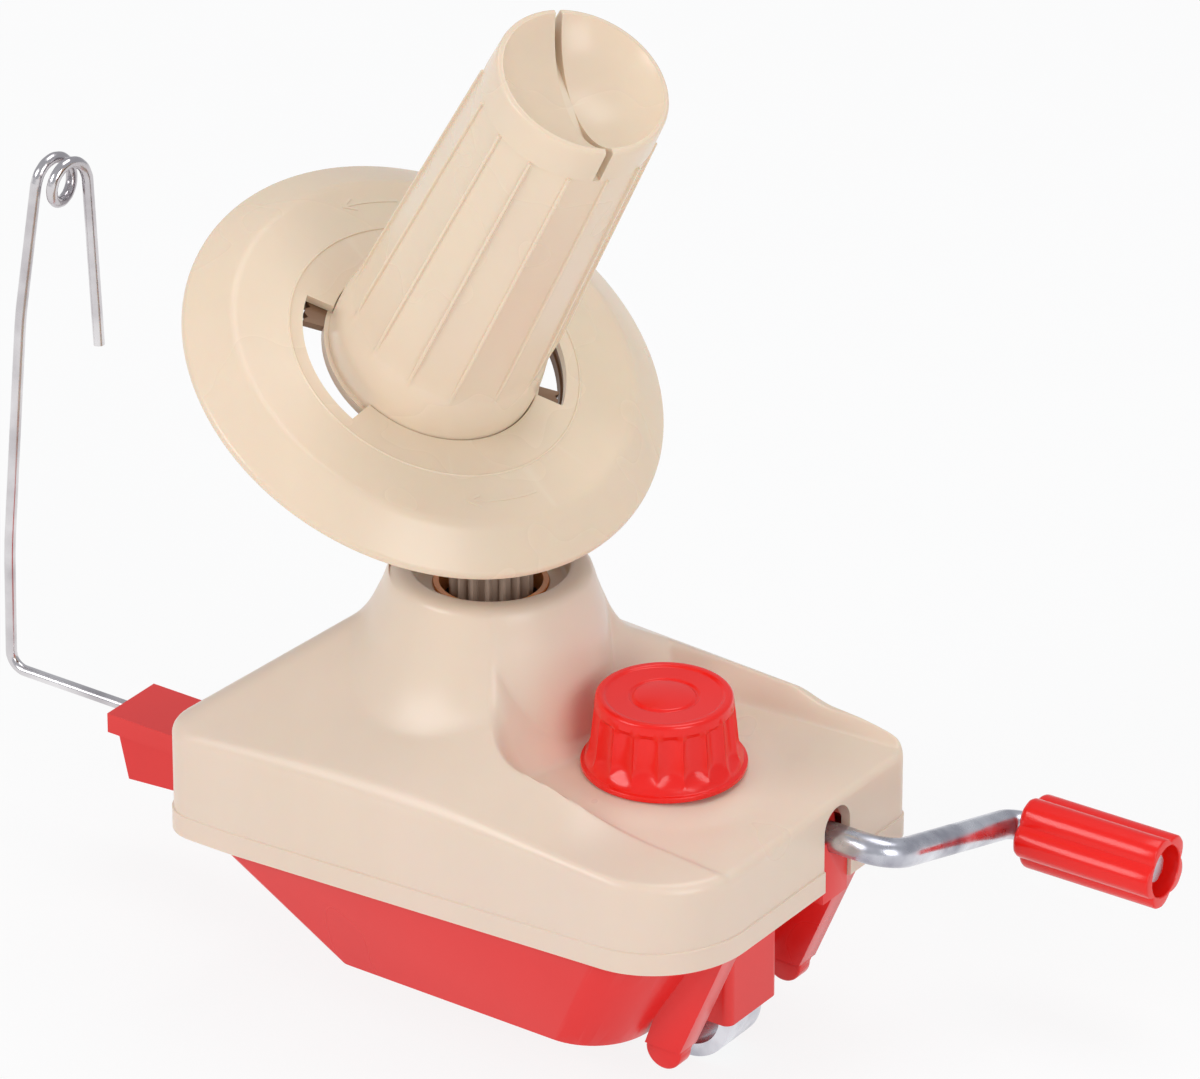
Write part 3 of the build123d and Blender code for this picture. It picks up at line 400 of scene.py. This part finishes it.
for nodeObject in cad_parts.values():
    for materialSlot in nodeObject.material_slots:
        if materialSlot.material and materialSlot.material.name in finishes:
            materialSlot.material = finishes[materialSlot.material.name]
# the neck post gets the paler painted-light copy of the gear plastic; the outer crank bearing gets the red plastic
for nodeName, ownMaterial in (
    ("neck_post", plastics["paintedLitPostPlastic"]), ("crank_bearing_outer", plastics["redPlastic"]),
):
    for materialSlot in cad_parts[nodeName].material_slots:
        materialSlot.material = ownMaterial
print("materials ready")


# camera, seen from the front right and a little above
camera = {
    "azimuth": 35.2, "elevation": 27.7, "distance": 2000.0, "aim": (0.0, 0.0, 87.0), "side": 23.696, "rise": 5.109,
    "lens": 276, "sensor": 36,
}
turnAngle = math.radians(camera["azimuth"])
tiltAngle = math.radians(camera["elevation"])
ahead = Vector((
    -math.sin(turnAngle) * math.cos(tiltAngle), math.cos(turnAngle) * math.cos(tiltAngle), -math.sin(tiltAngle)
))
toRight = Vector((math.cos(turnAngle), math.sin(turnAngle), 0))
upwards = toRight.cross(ahead)
eye = Vector(camera["aim"]) - ahead * camera["distance"] + toRight * camera["side"] + upwards * camera["rise"]
bpy.ops.object.camera_add(location=eye * mm)
viewer = bpy.context.object
viewer.matrix_world = Matrix.Translation(eye * mm) @ Matrix((toRight, upwards, -ahead)).transposed().to_4x4()
viewer.data.lens = camera["lens"]
viewer.data.sensor_width = camera["sensor"]
viewer.data.clip_end = 30
bpy.context.scene.camera = viewer
bpy.context.scene.view_settings.view_transform = "Standard"


# floor, lamps and the pale surroundings
def lamp(name, place, aim, width, height, power):
    deselectAll()
    bpy.ops.object.light_add(type="AREA", location=place)
    light = bpy.context.object
    light.name = name
    light.data.shape = "RECTANGLE"
    light.data.size = width
    light.data.size_y = height
    light.data.energy = power
    light.rotation_euler = (Vector(aim) - Vector(place)).to_track_quat("-Z", "Y").to_euler()


def paleFloor():
    material, nodes, links, shader, place = startMaterial("floorPaper")
    grain = noiseOf(nodes, links, place, 40.0, 3)
    paper = rampOf(nodes, links, grain, [(0.2, (0.85, 0.85, 0.85)), (0.8, (0.88, 0.88, 0.88))])
    links.new(paper, shader.inputs["Base Color"])
    shader.inputs["Roughness"].default_value = 0.9
    glow = nodes.new("ShaderNodeEmission")
    glow.inputs["Strength"].default_value = 1.0
    path = nodes.new("ShaderNodeLightPath")
    seen = nodes.new("ShaderNodeMath")
    seen.operation = "MAXIMUM"
    links.new(path.outputs["Is Camera Ray"], seen.inputs[0])
    links.new(path.outputs["Is Glossy Ray"], seen.inputs[1])
    through = nodes.new("ShaderNodeMath")
    through.operation = "MAXIMUM"
    links.new(seen.outputs[0], through.inputs[0])
    links.new(path.outputs["Is Transmission Ray"], through.inputs[1])
    share = nodes.new("ShaderNodeMath")
    share.operation = "MULTIPLY"
    share.inputs[1].default_value = 0.86
    links.new(through.outputs[0], share.inputs[0])
    mixed = nodes.new("ShaderNodeMixShader")
    links.new(share.outputs[0], mixed.inputs[0])
    links.new(shader.outputs[0], mixed.inputs[1])
    links.new(glow.outputs[0], mixed.inputs[2])
    links.new(mixed.outputs[0], nodes["Material Output"].inputs["Surface"])
    deselectAll()
    justBelow = cadBox[0][2] - 0.0005
    bpy.ops.mesh.primitive_circle_add(vertices=96, radius=3.0, fill_type="NGON", location=(0, 0, justBelow))
    floor = bpy.context.object
    floor.name = "floor"
    settle(floor)
    floor.data.materials.append(material)


def paleWorld():
    world = bpy.data.worlds.new("paleRoom")
    bpy.context.scene.world = world
    world.use_nodes = True
    nodes = world.node_tree.nodes
    links = world.node_tree.links
    room = nodes["Background"]
    room.inputs["Color"].default_value = (0.93, 0.95, 1.0, 1)
    room.inputs["Strength"].default_value = 0.54
    white = nodes.new("ShaderNodeBackground")
    white.inputs["Color"].default_value = (1, 1, 1, 1)
    white.inputs["Strength"].default_value = 1.0
    path = nodes.new("ShaderNodeLightPath")
    mixed = nodes.new("ShaderNodeMixShader")
    links.new(path.outputs["Is Camera Ray"], mixed.inputs[0])
    links.new(room.outputs[0], mixed.inputs[1])
    links.new(white.outputs[0], mixed.inputs[2])
    links.new(mixed.outputs[0], nodes["World Output"].inputs["Surface"])


paleFloor()
paleWorld()
lampAim = (0, 0, 0.08)
lamp("keySoftbox", (-0.8, -1.6, 1.0), lampAim, 1.0, 0.9, 14.2)
lamp("rightSoftbox", (1.6, -0.7, 0.75), lampAim, 0.8, 1.0, 9.5)
lamp("topSoftbox", (0.1, 0.5, 1.8), lampAim, 1.2, 0.8, 8)
print("stage ready")


# the leaning axis that dish and tube turn about; the same values as in the part
lean = {"apex": 162.0, "tilt": 31.1, "azimuth": -13.7}
leanTilt = math.radians(lean["tilt"])
leanTurn = math.radians(lean["azimuth"])
leanX = Vector((
    math.cos(leanTilt) * math.cos(leanTurn), math.cos(leanTilt) * math.sin(leanTurn), -math.sin(leanTilt)
))
leanZ = Vector((
    math.sin(leanTilt) * math.cos(leanTurn), math.sin(leanTilt) * math.sin(leanTurn), math.cos(leanTilt)
))
leanY = leanZ.cross(leanX)
leanPlace = Matrix.Translation((0, 0, lean["apex"] * mm)) @ Matrix((leanX, leanY, leanZ)).transposed().to_4x4()


# top cover
cover = {
    "left": -58.5, "right": 83.0, "front": -45.0, "back": 41.5,
    "frontLeftR": 8.0, "backLeftR": 24.0, "frontRightR": 22.0, "backRightR": 4.0,
    "foldRounding": 2.3, "backRounding": 1.6, "lipProud": 0.4, "lipHeight": 5.4, "wall": 2.3,
    "neckTop": 87.0, "recessR": 17.0, "recessFloor": 82.5, "holeR": 12.6, "floorUnder": 80.0,
    "leftEdgeZ": 45.6, "leftFall": 0.055, "leftSlope": 0.82, "backSlope": 0.62,
    "knobX": 46.0, "knobSeatR": 18.8, "knobSeatZ": 51.75, "plateauZ": 51.5, "plateauFall": 0.073,
    "pocketFront": -28.1, "pocketLeft": 27.0, "pocketCorner": 15.0, "columns": 520,
    "frontEdgeZ": 50.4, "frontSag": 0.0007, "frontMiddleX": 20, "frontSlope": 0.8, "spreadX": 21.5, "spreadOver": 37,
    "ridgeZ": 57.0, "ridgeFall": 0.04, "ridgeBend": 0.0025, "ridgeBendX": 56, "neckBlend": 18.0,
    "leftWall": 2.3, "frontWall": 2.8, "bank": 1.5, "creaseY": -29.6,
    "plateauBackX": 41.4, "plateauBackY": 31.9, "plateauBackSlope": 0.2025,
    "archY": 13, "archZ": 42.1, "archR": 4.9, "archFrom": 72, "archTo": 86,
    "bottomZ": 22.0, "bottomRise": 0.0457, "bottomRiseX": -39.5,
    "busyFrom": -68, "busyTo": 66, "busyShare": 0.6,
}
# (radius, height) down the neck
neckSide = [
    (22.3, 85.1), (22.7, 84.0), (23.2, 82.0), (23.8, 79.4), (24.6, 76.4), (25.5, 73.2), (26.3, 69.8), (27.0, 67.0),
    (28.0, 63.2), (29.0, 59.6), (30.0, 56.0), (32.0, 49.0), (34.0, 41.0), (140.0, -300.0),
]
# the same above the knob's plateau, where it drops steeply
neckWall = [
    (22.3, 85.1), (22.7, 84.1), (23.2, 82.3), (23.8, 80.0), (24.6, 77.4), (25.3, 74.4), (25.8, 71.0), (26.2, 66.0),
    (26.6, 60.0), (27.0, 52.0), (28.0, 34.0), (140.0, -600.0),
]


def outlineGap(x, y):
    # how far a point lies outside the rounded plan outline
    middleX = (cover["left"] + cover["right"]) / 2
    middleY = (cover["front"] + cover["back"]) / 2
    if x < middleX:
        radius = cover["frontLeftR"] if y < middleY else cover["backLeftR"]
    else:
        radius = cover["frontRightR"] if y < middleY else cover["backRightR"]
    qx = abs(x - middleX) - (cover["right"] - middleX) + radius
    qy = abs(y - middleY) - (cover["back"] - middleY) + radius
    return min(max(qx, qy), 0) + math.hypot(max(qx, 0), max(qy, 0)) - radius


def outlineReach(angle):
    low, high = 10.0, 140.0
    for step in range(30):
        middle = (low + high) / 2
        if outlineGap(middle * math.cos(angle), middle * math.sin(angle)) > 0:
            high = middle
        else:
            low = middle
    return low


def plateauBack(x):
    return cover["plateauBackY"] + cover["plateauBackSlope"] * (x - cover["plateauBackX"])


def creaseReach(angle, reach):
    # distance to the pocket's edge, so that one row of the mesh follows it
    c, s = math.cos(angle), math.sin(angle)
    edges = [reach * 0.93]
    if s < -0.01:
        edges.append(cover["creaseY"] / s)
    slope = cover["plateauBackSlope"]
    if s - slope * c > 0.01:
        edges.append((cover["plateauBackY"] - slope * cover["plateauBackX"]) / (s - slope * c))
    return max(31.5, min(edges))


def roofHeight(x, y):
    fromLeft = cover["leftEdgeZ"] - cover["leftFall"] * y + cover["leftSlope"] * (x - cover["left"])
    spread = blendMax(0.07, blendMin(1.0, 1 - (x - cover["spreadX"]) / cover["spreadOver"], 0.25), 0.2)
    frontEdge = cover["frontEdgeZ"] - cover["frontSag"] * (x - cover["frontMiddleX"]) ** 2
    fromFront = frontEdge + cover["frontSlope"] * (y - cover["front"]) * spread
    ridge = cover["ridgeZ"] - cover["ridgeFall"] * x - cover["ridgeBend"] * max(0.0, x - cover["ridgeBendX"]) ** 2
    fromBack = ridge + cover["backSlope"] * (cover["back"] - y)
    return blendMin(blendMin(fromLeft, fromFront, 4.0), fromBack, 5.0)


def pocketHeight(x, y):
    fromKnob = math.hypot(x - cover["knobX"], y)
    slope = cover["plateauZ"] - cover["plateauFall"] * (x - cover["knobX"])
    floor = mixUp(cover["knobSeatZ"], slope, smoothStep(cover["knobSeatR"], 27.0, fromKnob))
    soft = cover["pocketCorner"]
    toLeft = cover["leftWall"] * (cover["pocketLeft"] + 0.1 * min(y, 0.0) - x) + soft
    toFront = cover["frontWall"] * (cover["pocketFront"] - y) + soft
    corner = math.hypot(max(toLeft, 0.0), max(toFront, 0.0)) + min(max(toLeft, toFront), 0.0) - soft
    wall = blendMax(corner, alongTable(neckWall, math.hypot(x, y)) - floor, 5.0)
    bank = cover["bank"] * (y - plateauBack(x))
    softness = mixUp(9.0, 2.5, smoothStep(26.0, 44.0, x))
    return floor + blendMax(blendMax(0.0, wall, softness), bank, 1.5)


def coverHeight(x, y):
    r = math.hypot(x, y)
    whole = blendMax(alongTable(neckSide, r), roofHeight(x, y), cover["neckBlend"])
    crease = mixUp(5.0, 2.0, smoothStep(24.0, 38.0, x)) * smoothStep(22.5, 29.0, r)
    return blendMin(whole, pocketHeight(x, y), crease + 0.1)


def foldRounding(x, y):
    # the fold is tighter along the back and round the crank end
    return mixUp(cover["foldRounding"], cover["backRounding"], smoothStep(50.0, 80.0, x + y))


def coverBottom(x):
    return max(cover["bottomZ"], cover["bottomZ"] + cover["bottomRise"] * (x - cover["bottomRiseX"]))


def makeCover():
    columns = cover["columns"]
    busy = round(columns * cover["busyShare"])
    busySpan = cover["busyTo"] - cover["busyFrom"]
    angles = []
    for k in range(columns + 1):
        if k <= busy:
            angles.append(math.radians(cover["busyFrom"] + busySpan * k / busy))
        else:
            angles.append(math.radians(cover["busyTo"] + (360 - busySpan) * (k - busy) / (columns - busy)))
    reaches = [outlineReach(a) for a in angles]
    rows = [("at", cover["holeR"], cover["floorUnder"]), ("at", cover["holeR"], cover["recessFloor"] - 0.3),
            ("at", cover["holeR"] + 0.3, cover["recessFloor"]), ("at", 14.0, cover["recessFloor"]),
            ("at", 15.6, cover["recessFloor"]), ("at", 16.4, cover["recessFloor"] + 0.2),
            ("at", 16.9, cover["recessFloor"] + 0.8), ("at", cover["recessR"], cover["recessFloor"] + 2.0),
            ("at", 17.05, 86.0), ("at", 17.25, 86.6), ("at", 17.7, 86.93), ("at", 18.3, cover["neckTop"]),
            ("at", 19.2, cover["neckTop"]), ("at", 20.1, 86.9), ("at", 20.9, 86.6), ("at", 21.5, 86.2),
            ("at", 22.0, 85.7)]
    near = 30
    far = 34
    outer = 22
    rows += [("near", k / near) for k in range(near + 1)]
    rows += [("far", k / far) for k in range(1, far + 1)]
    rows += [("outer", k / outer) for k in range(1, outer + 1)]
    rows += [("fold", k / 6) for k in range(1, 7)]
    rows += [("band", t) for t in (0.15, 0.4, 0.7, 0.93, 1.0)]
    rows += [("lip", t) for t in (0.0, 0.04, 0.12, 0.5, 0.9, 1.0)]
    rows += [("under", 0.3), ("under", 1.0)]
    rows += [("wall", 0.5), ("wall", 1.0)]
    rows += [("in", t) for t in (0.97, 0.9, 0.8, 0.7, 0.6, 0.5, 0.4, 0.3, 0.2, 0.12, 0.06, 0.0)]
    rows += [("at", 20.0, cover["floorUnder"]), ("at", cover["holeR"], cover["floorUnder"])]
    edgeHeights = []
    for angle, reach in zip(angles, reaches):
        r = reach - cover["lipProud"]
        edgeHeights.append(coverHeight(r * math.cos(angle), r * math.sin(angle)))

    def place(column, row):
        angle = angles[column % columns]
        reach = reaches[column % columns]
        edgeZ = edgeHeights[column % columns]
        c, s = math.cos(angle), math.sin(angle)
        kind = rows[row][0]
        if kind == "at":
            r, z = rows[row][1:]
            return r * c, r * s, z
        t = rows[row][1]
        rim = reach - cover["lipProud"]
        rounding = foldRounding(rim * c, rim * s)
        crease = creaseReach(angle, reach)
        if kind in ("near", "far", "outer"):
            if kind == "near":
                r = mixUp(22.3, 31.5, t ** 1.3)
            elif kind == "far":
                r = mixUp(31.5, crease, t)
            else:
                r = mixUp(crease, rim - rounding, t)
            return r * c, r * s, coverHeight(r * c, r * s)
        if kind == "fold":
            turn = t * math.pi / 2
            r = rim - rounding + rounding * math.sin(turn)
            z = coverHeight(r * c, r * s) - rounding * (1 - math.cos(turn))
            return r * c, r * s, z
        low = coverBottom(reach * c)
        stepZ = low + cover["lipHeight"]
        if kind == "band":
            return rim * c, rim * s, mixUp(edgeZ - rounding, stepZ + 0.3, t)
        if kind == "lip":
            r = rim + cover["lipProud"] * min(1.0, t / 0.04)
            z = mixUp(stepZ + 0.3, low + 0.4, t)
            return r * c, r * s, z
        if kind == "under":
            r = reach - mixUp(0.1, cover["wall"], t)
            return r * c, r * s, low
        inside = rim - cover["wall"]
        if kind == "wall":
            return inside * c, inside * s, mixUp(low, edgeZ - 7, t)
        r = mixUp(20.5, inside - 1, t)
        lowest = min(coverHeight(q * c, q * s) for q in (r - 2.4, r - 1.2, r, r + 1.2, min(r + 2.4, rim)))
        return r * c, r * s, min(lowest - 2.4, 83.0)

    obj = gridShell("coverTop", columns, len(rows) - 1, place)
    x0, x1, y, z, r = (cover[key] for key in ("archFrom", "archTo", "archY", "archZ", "archR"))
    arch = cylinderAlong("archCutter", r, (x0, y, z), (x1, y, z), 64)
    cutAway(obj, arch)
    sides = boxBetween("slotCutter", (x0, y - r, 10), (x1, y + r, z))
    cutAway(obj, sides)
    finishPiece(obj, "housing", ["top_cover"], plastics["creamPlastic"], 42)


makeCover()


# dish
dish = {
    "boreR": 23.85, "flat": -35.3, "foldR": 46.2, "rimR": 55.2, "rimW": -41.6, "lipW": -43.1, "wall": 2.0,
    "ringR": 33.3, "ringHalf": 0.28, "ringHigh": 0.22, "slotOuterR": 30.2, "slotStart": 39.2, "slotSpan": 66.4,
    "arrowHalf": 0.28, "arrowHigh": 0.12, "headLong": 3.4, "headOpening": 28.0,
    "arrows": [{"r": 40.0, "head": -25.5, "tail": -1.0}, {"r": 40.6, "head": 175.5, "tail": 156.5}],
}


def turnArrow(r, head, tail):
    # a thin raised arrow that follows the dish round
    d = dish
    low = d["flat"] - 0.3
    high = d["flat"] + d["arrowHigh"]
    shaft = arcBlock(
        "turnArrow", r - d["arrowHalf"], r + d["arrowHalf"], low, high, min(head, tail), abs(head - tail), 40,
    )
    tip = math.radians(head)
    away = 90 if tail > head else -90
    for side in (-1, 1):
        barb = boxBetween("arrowBarb", (-0.1, -d["arrowHalf"], low), (d["headLong"], d["arrowHalf"], high))
        placeBy(barb, Matrix.Rotation(tip + math.radians(away + side * d["headOpening"]), 4, "Z"))
        placeBy(barb, Matrix.Translation((r * mm * math.cos(tip), r * mm * math.sin(tip), 0)))
        weldOn(shaft, barb)
    return shaft


def makeDish():
    d = dish
    profile = roundedProfile([
        (d["boreR"], d["flat"], 0.3),
        (d["ringR"] - d["ringHalf"], d["flat"], 0.1),
        (d["ringR"] - d["ringHalf"] + 0.12, d["flat"] + d["ringHigh"], 0.1),
        (d["ringR"] + d["ringHalf"] - 0.12, d["flat"] + d["ringHigh"], 0.1),
        (d["ringR"] + d["ringHalf"], d["flat"], 0.1),
        (d["foldR"], d["flat"], 1.5),
        (d["rimR"], d["rimW"], 0.9),
        (d["rimR"], d["lipW"], 0.3),
        (d["rimR"] - d["wall"], d["lipW"], 0.3),
        (d["rimR"] - d["wall"], d["rimW"] - 0.6, 1.0),
        (d["foldR"] - 0.6, d["flat"] - d["wall"], 1.2),
        (d["boreR"], d["flat"] - d["wall"]),
    ])
    obj = turnProfile("dishPlate", profile, 256)
    for k in range(2):
        cutter = arcBlock(
            "slotCutter", d["boreR"] - 2, d["slotOuterR"], d["flat"] - 6, d["flat"] + 3,
            d["slotStart"] + 180 * k, d["slotSpan"], 48,
        )
        cutAway(obj, cutter)
    for arrow in d["arrows"]:
        weldOn(obj, turnArrow(**arrow))
    placeBy(obj, leanPlace)
    finishPiece(obj, "spool", ["dish"], plastics["warmCream"], 28)


makeDish()


# winding tube
tube = {
    "topW": 59.8, "topR": 19.2, "waistW": -24.5, "waistR": 22.5, "footR": 23.65, "footW": -32.5,
    "bottomW": -39.2, "plugR": 24.7, "plugTop": -37.35,
    "collar": 9.0, "panels": 14, "ribTurn": -11.0, "ribHalf": 0.36, "ribProud": 0.62, "bowlDeep": 9.0,
    "lip": 1.3, "slitWide": 1.6, "slitTurn": 161.0,
}


def tubeRadius(w):
    t = tube
    if w > t["waistW"]:
        return mixUp(t["waistR"], t["topR"], (w - t["waistW"]) / (t["topW"] - t["waistW"]))
    share = smoothStep(t["waistW"] + 2, t["footW"], w)
    return mixUp(t["waistR"], t["footR"], min(1.0, share))


def makeTube():
    t = tube
    pitch = 2 * math.pi / t["panels"]
    ribEdge = t["ribHalf"] / 21.0
    fractions = [-ribEdge * 1.25, -ribEdge, -ribEdge * 0.55, 0, ribEdge * 0.55, ribEdge, ribEdge * 1.25]
    fractions += [mixUp(ribEdge * 1.25, pitch - ribEdge * 1.25, k / 10) for k in range(1, 10)]
    perPanel = len(fractions)
    columns = perPanel * t["panels"]
    collarW = t["topW"] - t["collar"]
    bowlR = t["topR"] - t["lip"]
    sphereR = (bowlR ** 2 + t["bowlDeep"] ** 2) / (2 * t["bowlDeep"])
    rows = [("flat", 0.0, t["bottomW"]), ("flat", t["plugR"], t["bottomW"]), ("flat", t["plugR"], t["plugTop"]),
            ("flat", t["footR"], t["plugTop"]), ("flat", t["footR"], -35.5)]
    rows += [("side", mixUp(-35.2, -29.0, k / 6)) for k in range(7)]
    rows += [("side", mixUp(-28.2, -17.0, k / 14)) for k in range(15)]
    rows += [("side", mixUp(-14.0, collarW - 0.35, k / 14)) for k in range(15)]
    rows += [("side", collarW - 0.12), ("collar", collarW), ("collar", collarW + 0.15)]
    rows += [("collar", mixUp(collarW + 1, t["topW"] - 0.9, k / 3)) for k in range(4)]
    rows += [("flat", t["topR"] - 0.05, t["topW"] - 0.5), ("flat", t["topR"] - 0.25, t["topW"] - 0.18),
             ("flat", t["topR"] - 0.6, t["topW"]), ("flat", bowlR + 0.15, t["topW"] - 0.03)]
    rows += [("bowl", k / 16) for k in range(17)]

    def place(column, row):
        panel, part = divmod(column % columns, perPanel)
        turn = fractions[part]
        angle = math.radians(t["ribTurn"]) + panel * pitch + turn
        kind = rows[row][0]
        if kind == "flat":
            r, w = rows[row][1:]
        elif kind == "bowl":
            r = bowlR * math.cos(rows[row][1] * math.pi / 2)
            w = t["topW"] - t["bowlDeep"] + sphereR - math.sqrt(sphereR ** 2 - r ** 2)
        else:
            w = rows[row][1]
            r = tubeRadius(w)
            if kind == "side":
                presence = smoothStep(-27.0, -21.0, w)
                fromMiddle = abs((turn % pitch) - pitch / 2)
                flat = r * math.cos(pitch / 2) / math.cos(fromMiddle)
                r = mixUp(r, flat, presence)
                if abs(turn) <= ribEdge * 1.01:
                    crown = 0.82 if abs(turn) > ribEdge * 0.9 else 1.0
                    r += t["ribProud"] * crown * smoothStep(-26.0, -15.0, w)
        return r * math.cos(angle), r * math.sin(angle), w

    obj = gridShell("windingTube", columns, len(rows) - 1, place)
    half = t["slitWide"] / 2
    cutter = boxBetween("slitCutter", (-30, -half, collarW), (30, half, t["topW"] + 5))
    placeBy(cutter, Matrix.Rotation(math.radians(t["slitTurn"]), 4, "Z"))
    cutAway(obj, cutter)
    placeBy(obj, leanPlace)
    # the lugs below the plug's top, cut from the imported tube, are coloured dark brown with the gear plastic
    lugs = cadCopy("winding_tube", "tubeLugs")
    activate(lugs)
    bpy.ops.object.mode_set(mode="EDIT")
    bpy.ops.mesh.select_all(action="SELECT")
    bpy.ops.mesh.bisect(
        plane_co=leanPlace @ Vector((0, 0, t["plugTop"] * mm)), plane_no=leanZ, use_fill=True, clear_outer=True
    )
    bpy.ops.object.mode_set(mode="OBJECT")
    core = cylinderAlong("plugCutter", t["plugR"] + 0.03, (0, 0, -50), (0, 0, -30), 128)
    placeBy(core, leanPlace)
    cutAway(lugs, core)
    finishPiece(lugs, "tube", ["winding_tube"], plastics["gearPlastic"], 30)
    finishPiece(obj, "tube", ["winding_tube"], plastics["warmCream"], 30)


makeTube()


# clamp knob
knob = {
    "x": 46.0, "low": 51.95, "height": 17.2, "footR": 18.2, "topR": 14.8, "flange": 1.3, "flare": 0.8,
    "scallops": 18,
    "scallopDeep": 1.15, "ringR": 7.2,
}


def makeKnob():
    k = knob
    z0 = k["low"]
    z1 = z0 + k["height"]
    profile = [
        (0, z0 + 8.0), (5.2, z0 + 8.0), (5.6, z0 + 0.2), (12.0, z0 + 0.2), (12.3, z0), (17.4, z0),
    ]
    outer = roundedProfile([
        (17.2, z0), (k["footR"], z0, 0.5), (k["footR"], z0 + k["flange"], 0.5),
        (k["footR"] - 0.5, z0 + k["flange"] + 0.1),
    ])[1:]
    top = roundedProfile([
        (k["topR"] + 0.45, z1 - 2.4), (k["topR"] + 0.1, z1, 1.5), (13.2, z1 + 0.0, 0.6), (12.7, z1 - 0.45, 0.3),
        (k["ringR"] + 0.6, z1 - 0.45, 0.2), (k["ringR"] + 0.3, z1 - 0.8, 0.2), (k["ringR"] - 0.2, z1 - 0.8, 0.2),
        (k["ringR"] - 0.6, z1 - 0.35, 0.3), (3.5, z1 - 0.05, 1.0), (0, z1 + 0.1),
    ])
    low = z0 + k["flange"] + 0.25
    high = z1 - 2.4
    sideSteps = 20
    side = []
    for i in range(sideSteps + 1):
        share = i / sideSteps
        flare = k["flare"] * (1 - smoothStep(0.0, 0.3, share))
        side.append((mixUp(k["footR"] - 1.6, k["topR"] + 0.45, share) + flare, mixUp(low, high, share), share))
    rows = [(r, z, -1) for r, z in profile + outer] + side + [(r, z, -1) for r, z in top[1:]]
    perScallop = 12
    columns = k["scallops"] * perScallop

    def place(column, row):
        r, z, share = rows[row]
        angle = 2 * math.pi * column / columns
        if share >= 0:
            part = (column % perScallop) / perScallop
            hollow = math.sin(math.pi * part) ** 0.7
            fade = smoothStep(0.0, 0.35, share) * (1 - smoothStep(0.9, 1.0, share))
            r -= k["scallopDeep"] * hollow * fade
        return r * math.cos(angle), r * math.sin(angle), z

    obj = gridShell("clampKnob", columns, len(rows) - 1, place)
    placeBy(obj, Matrix.Translation((k["x"] * mm, 0, 0)))
    finishPiece(obj, "knob", ["clamp_knob"], plastics["knobPlastic"], 28)


makeKnob()


# crank grip
grip = {
    "start": (101.193, 61.593, 25.266), "along": (0.9986295, 0.0503086, -0.0144257), "length": 34.2, "r": 8.6,
    "lobes": 5, "lobeDeep": 1.6, "turn": 20.0, "rounding": 1.6, "endRounding": 0.5, "recessDeep": 4.6, "recessR": 6.0,
    "boreR": 2.7,
}


def makeGrip():
    g = grip
    long = g["length"]
    soft = g["rounding"]
    crisp = g["endRounding"]
    rows = [("round", g["boreR"], 0.05)]
    rows += [("lobe", -soft * (1 - math.sin(a)), soft * (1 - math.cos(a))) for a in (0.0, 0.35, 0.8, 1.2, 1.5708)]
    rows += [("lobe", 0.0, mixUp(soft, long - crisp, k / 8)) for k in range(1, 8)]
    rows += [("lobe", -crisp * (1 - math.cos(a)), long - crisp + crisp * math.sin(a)) for a in (0.0, 0.5, 1.0, 1.5708)]
    rows += [("round", g["recessR"] + 0.2, long), ("round", g["recessR"], long - 0.2),
             ("round", g["recessR"], long - g["recessDeep"] + 0.3),
             ("round", g["recessR"] - 0.3, long - g["recessDeep"]),
             ("round", g["boreR"], long - g["recessDeep"]), ("round", g["boreR"], 0.05)]
    columns = 200

    def place(column, row):
        kind, change, w = rows[row]
        angle = 2 * math.pi * column / columns
        if kind == "round":
            r = change
        else:
            valley = 1 - abs(math.cos(g["lobes"] * (angle - math.radians(g["turn"])) / 2))
            r = g["r"] - g["lobeDeep"] * max(0.0, valley - 0.06) / 0.94 + change
        return r * math.cos(angle), r * math.sin(angle), w

    obj = gridShell("crankGrip", columns, len(rows) - 1, place)
    along = Vector(g["along"]).normalized()
    across = (Vector((0, 0, 1)) - along * along.z).normalized()
    turn = Matrix((across, along.cross(across), along)).transposed().to_4x4()
    placeBy(obj, Matrix.Translation(Vector(g["start"]) * mm) @ turn)
    finishPiece(obj, "grip", ["crank_grip"], plastics["knobPlastic"], 32)


makeGrip()


# plain moulded pieces: the imported shapes with softened edges
softened = [
    ("base_shell", "casing", "housing", 0.5, "red_plastic"),
    ("edge_stop_front", "edgeStopFront", "housing", 0.5, "red_plastic"),
    ("edge_stop_back", "edgeStopBack", "housing", 0.5, "red_plastic"),
]
for node, name, body, width, slot in softened:
    finishPiece(softenedCopy(node, name, width), body, [node], finishes[slot], 30)
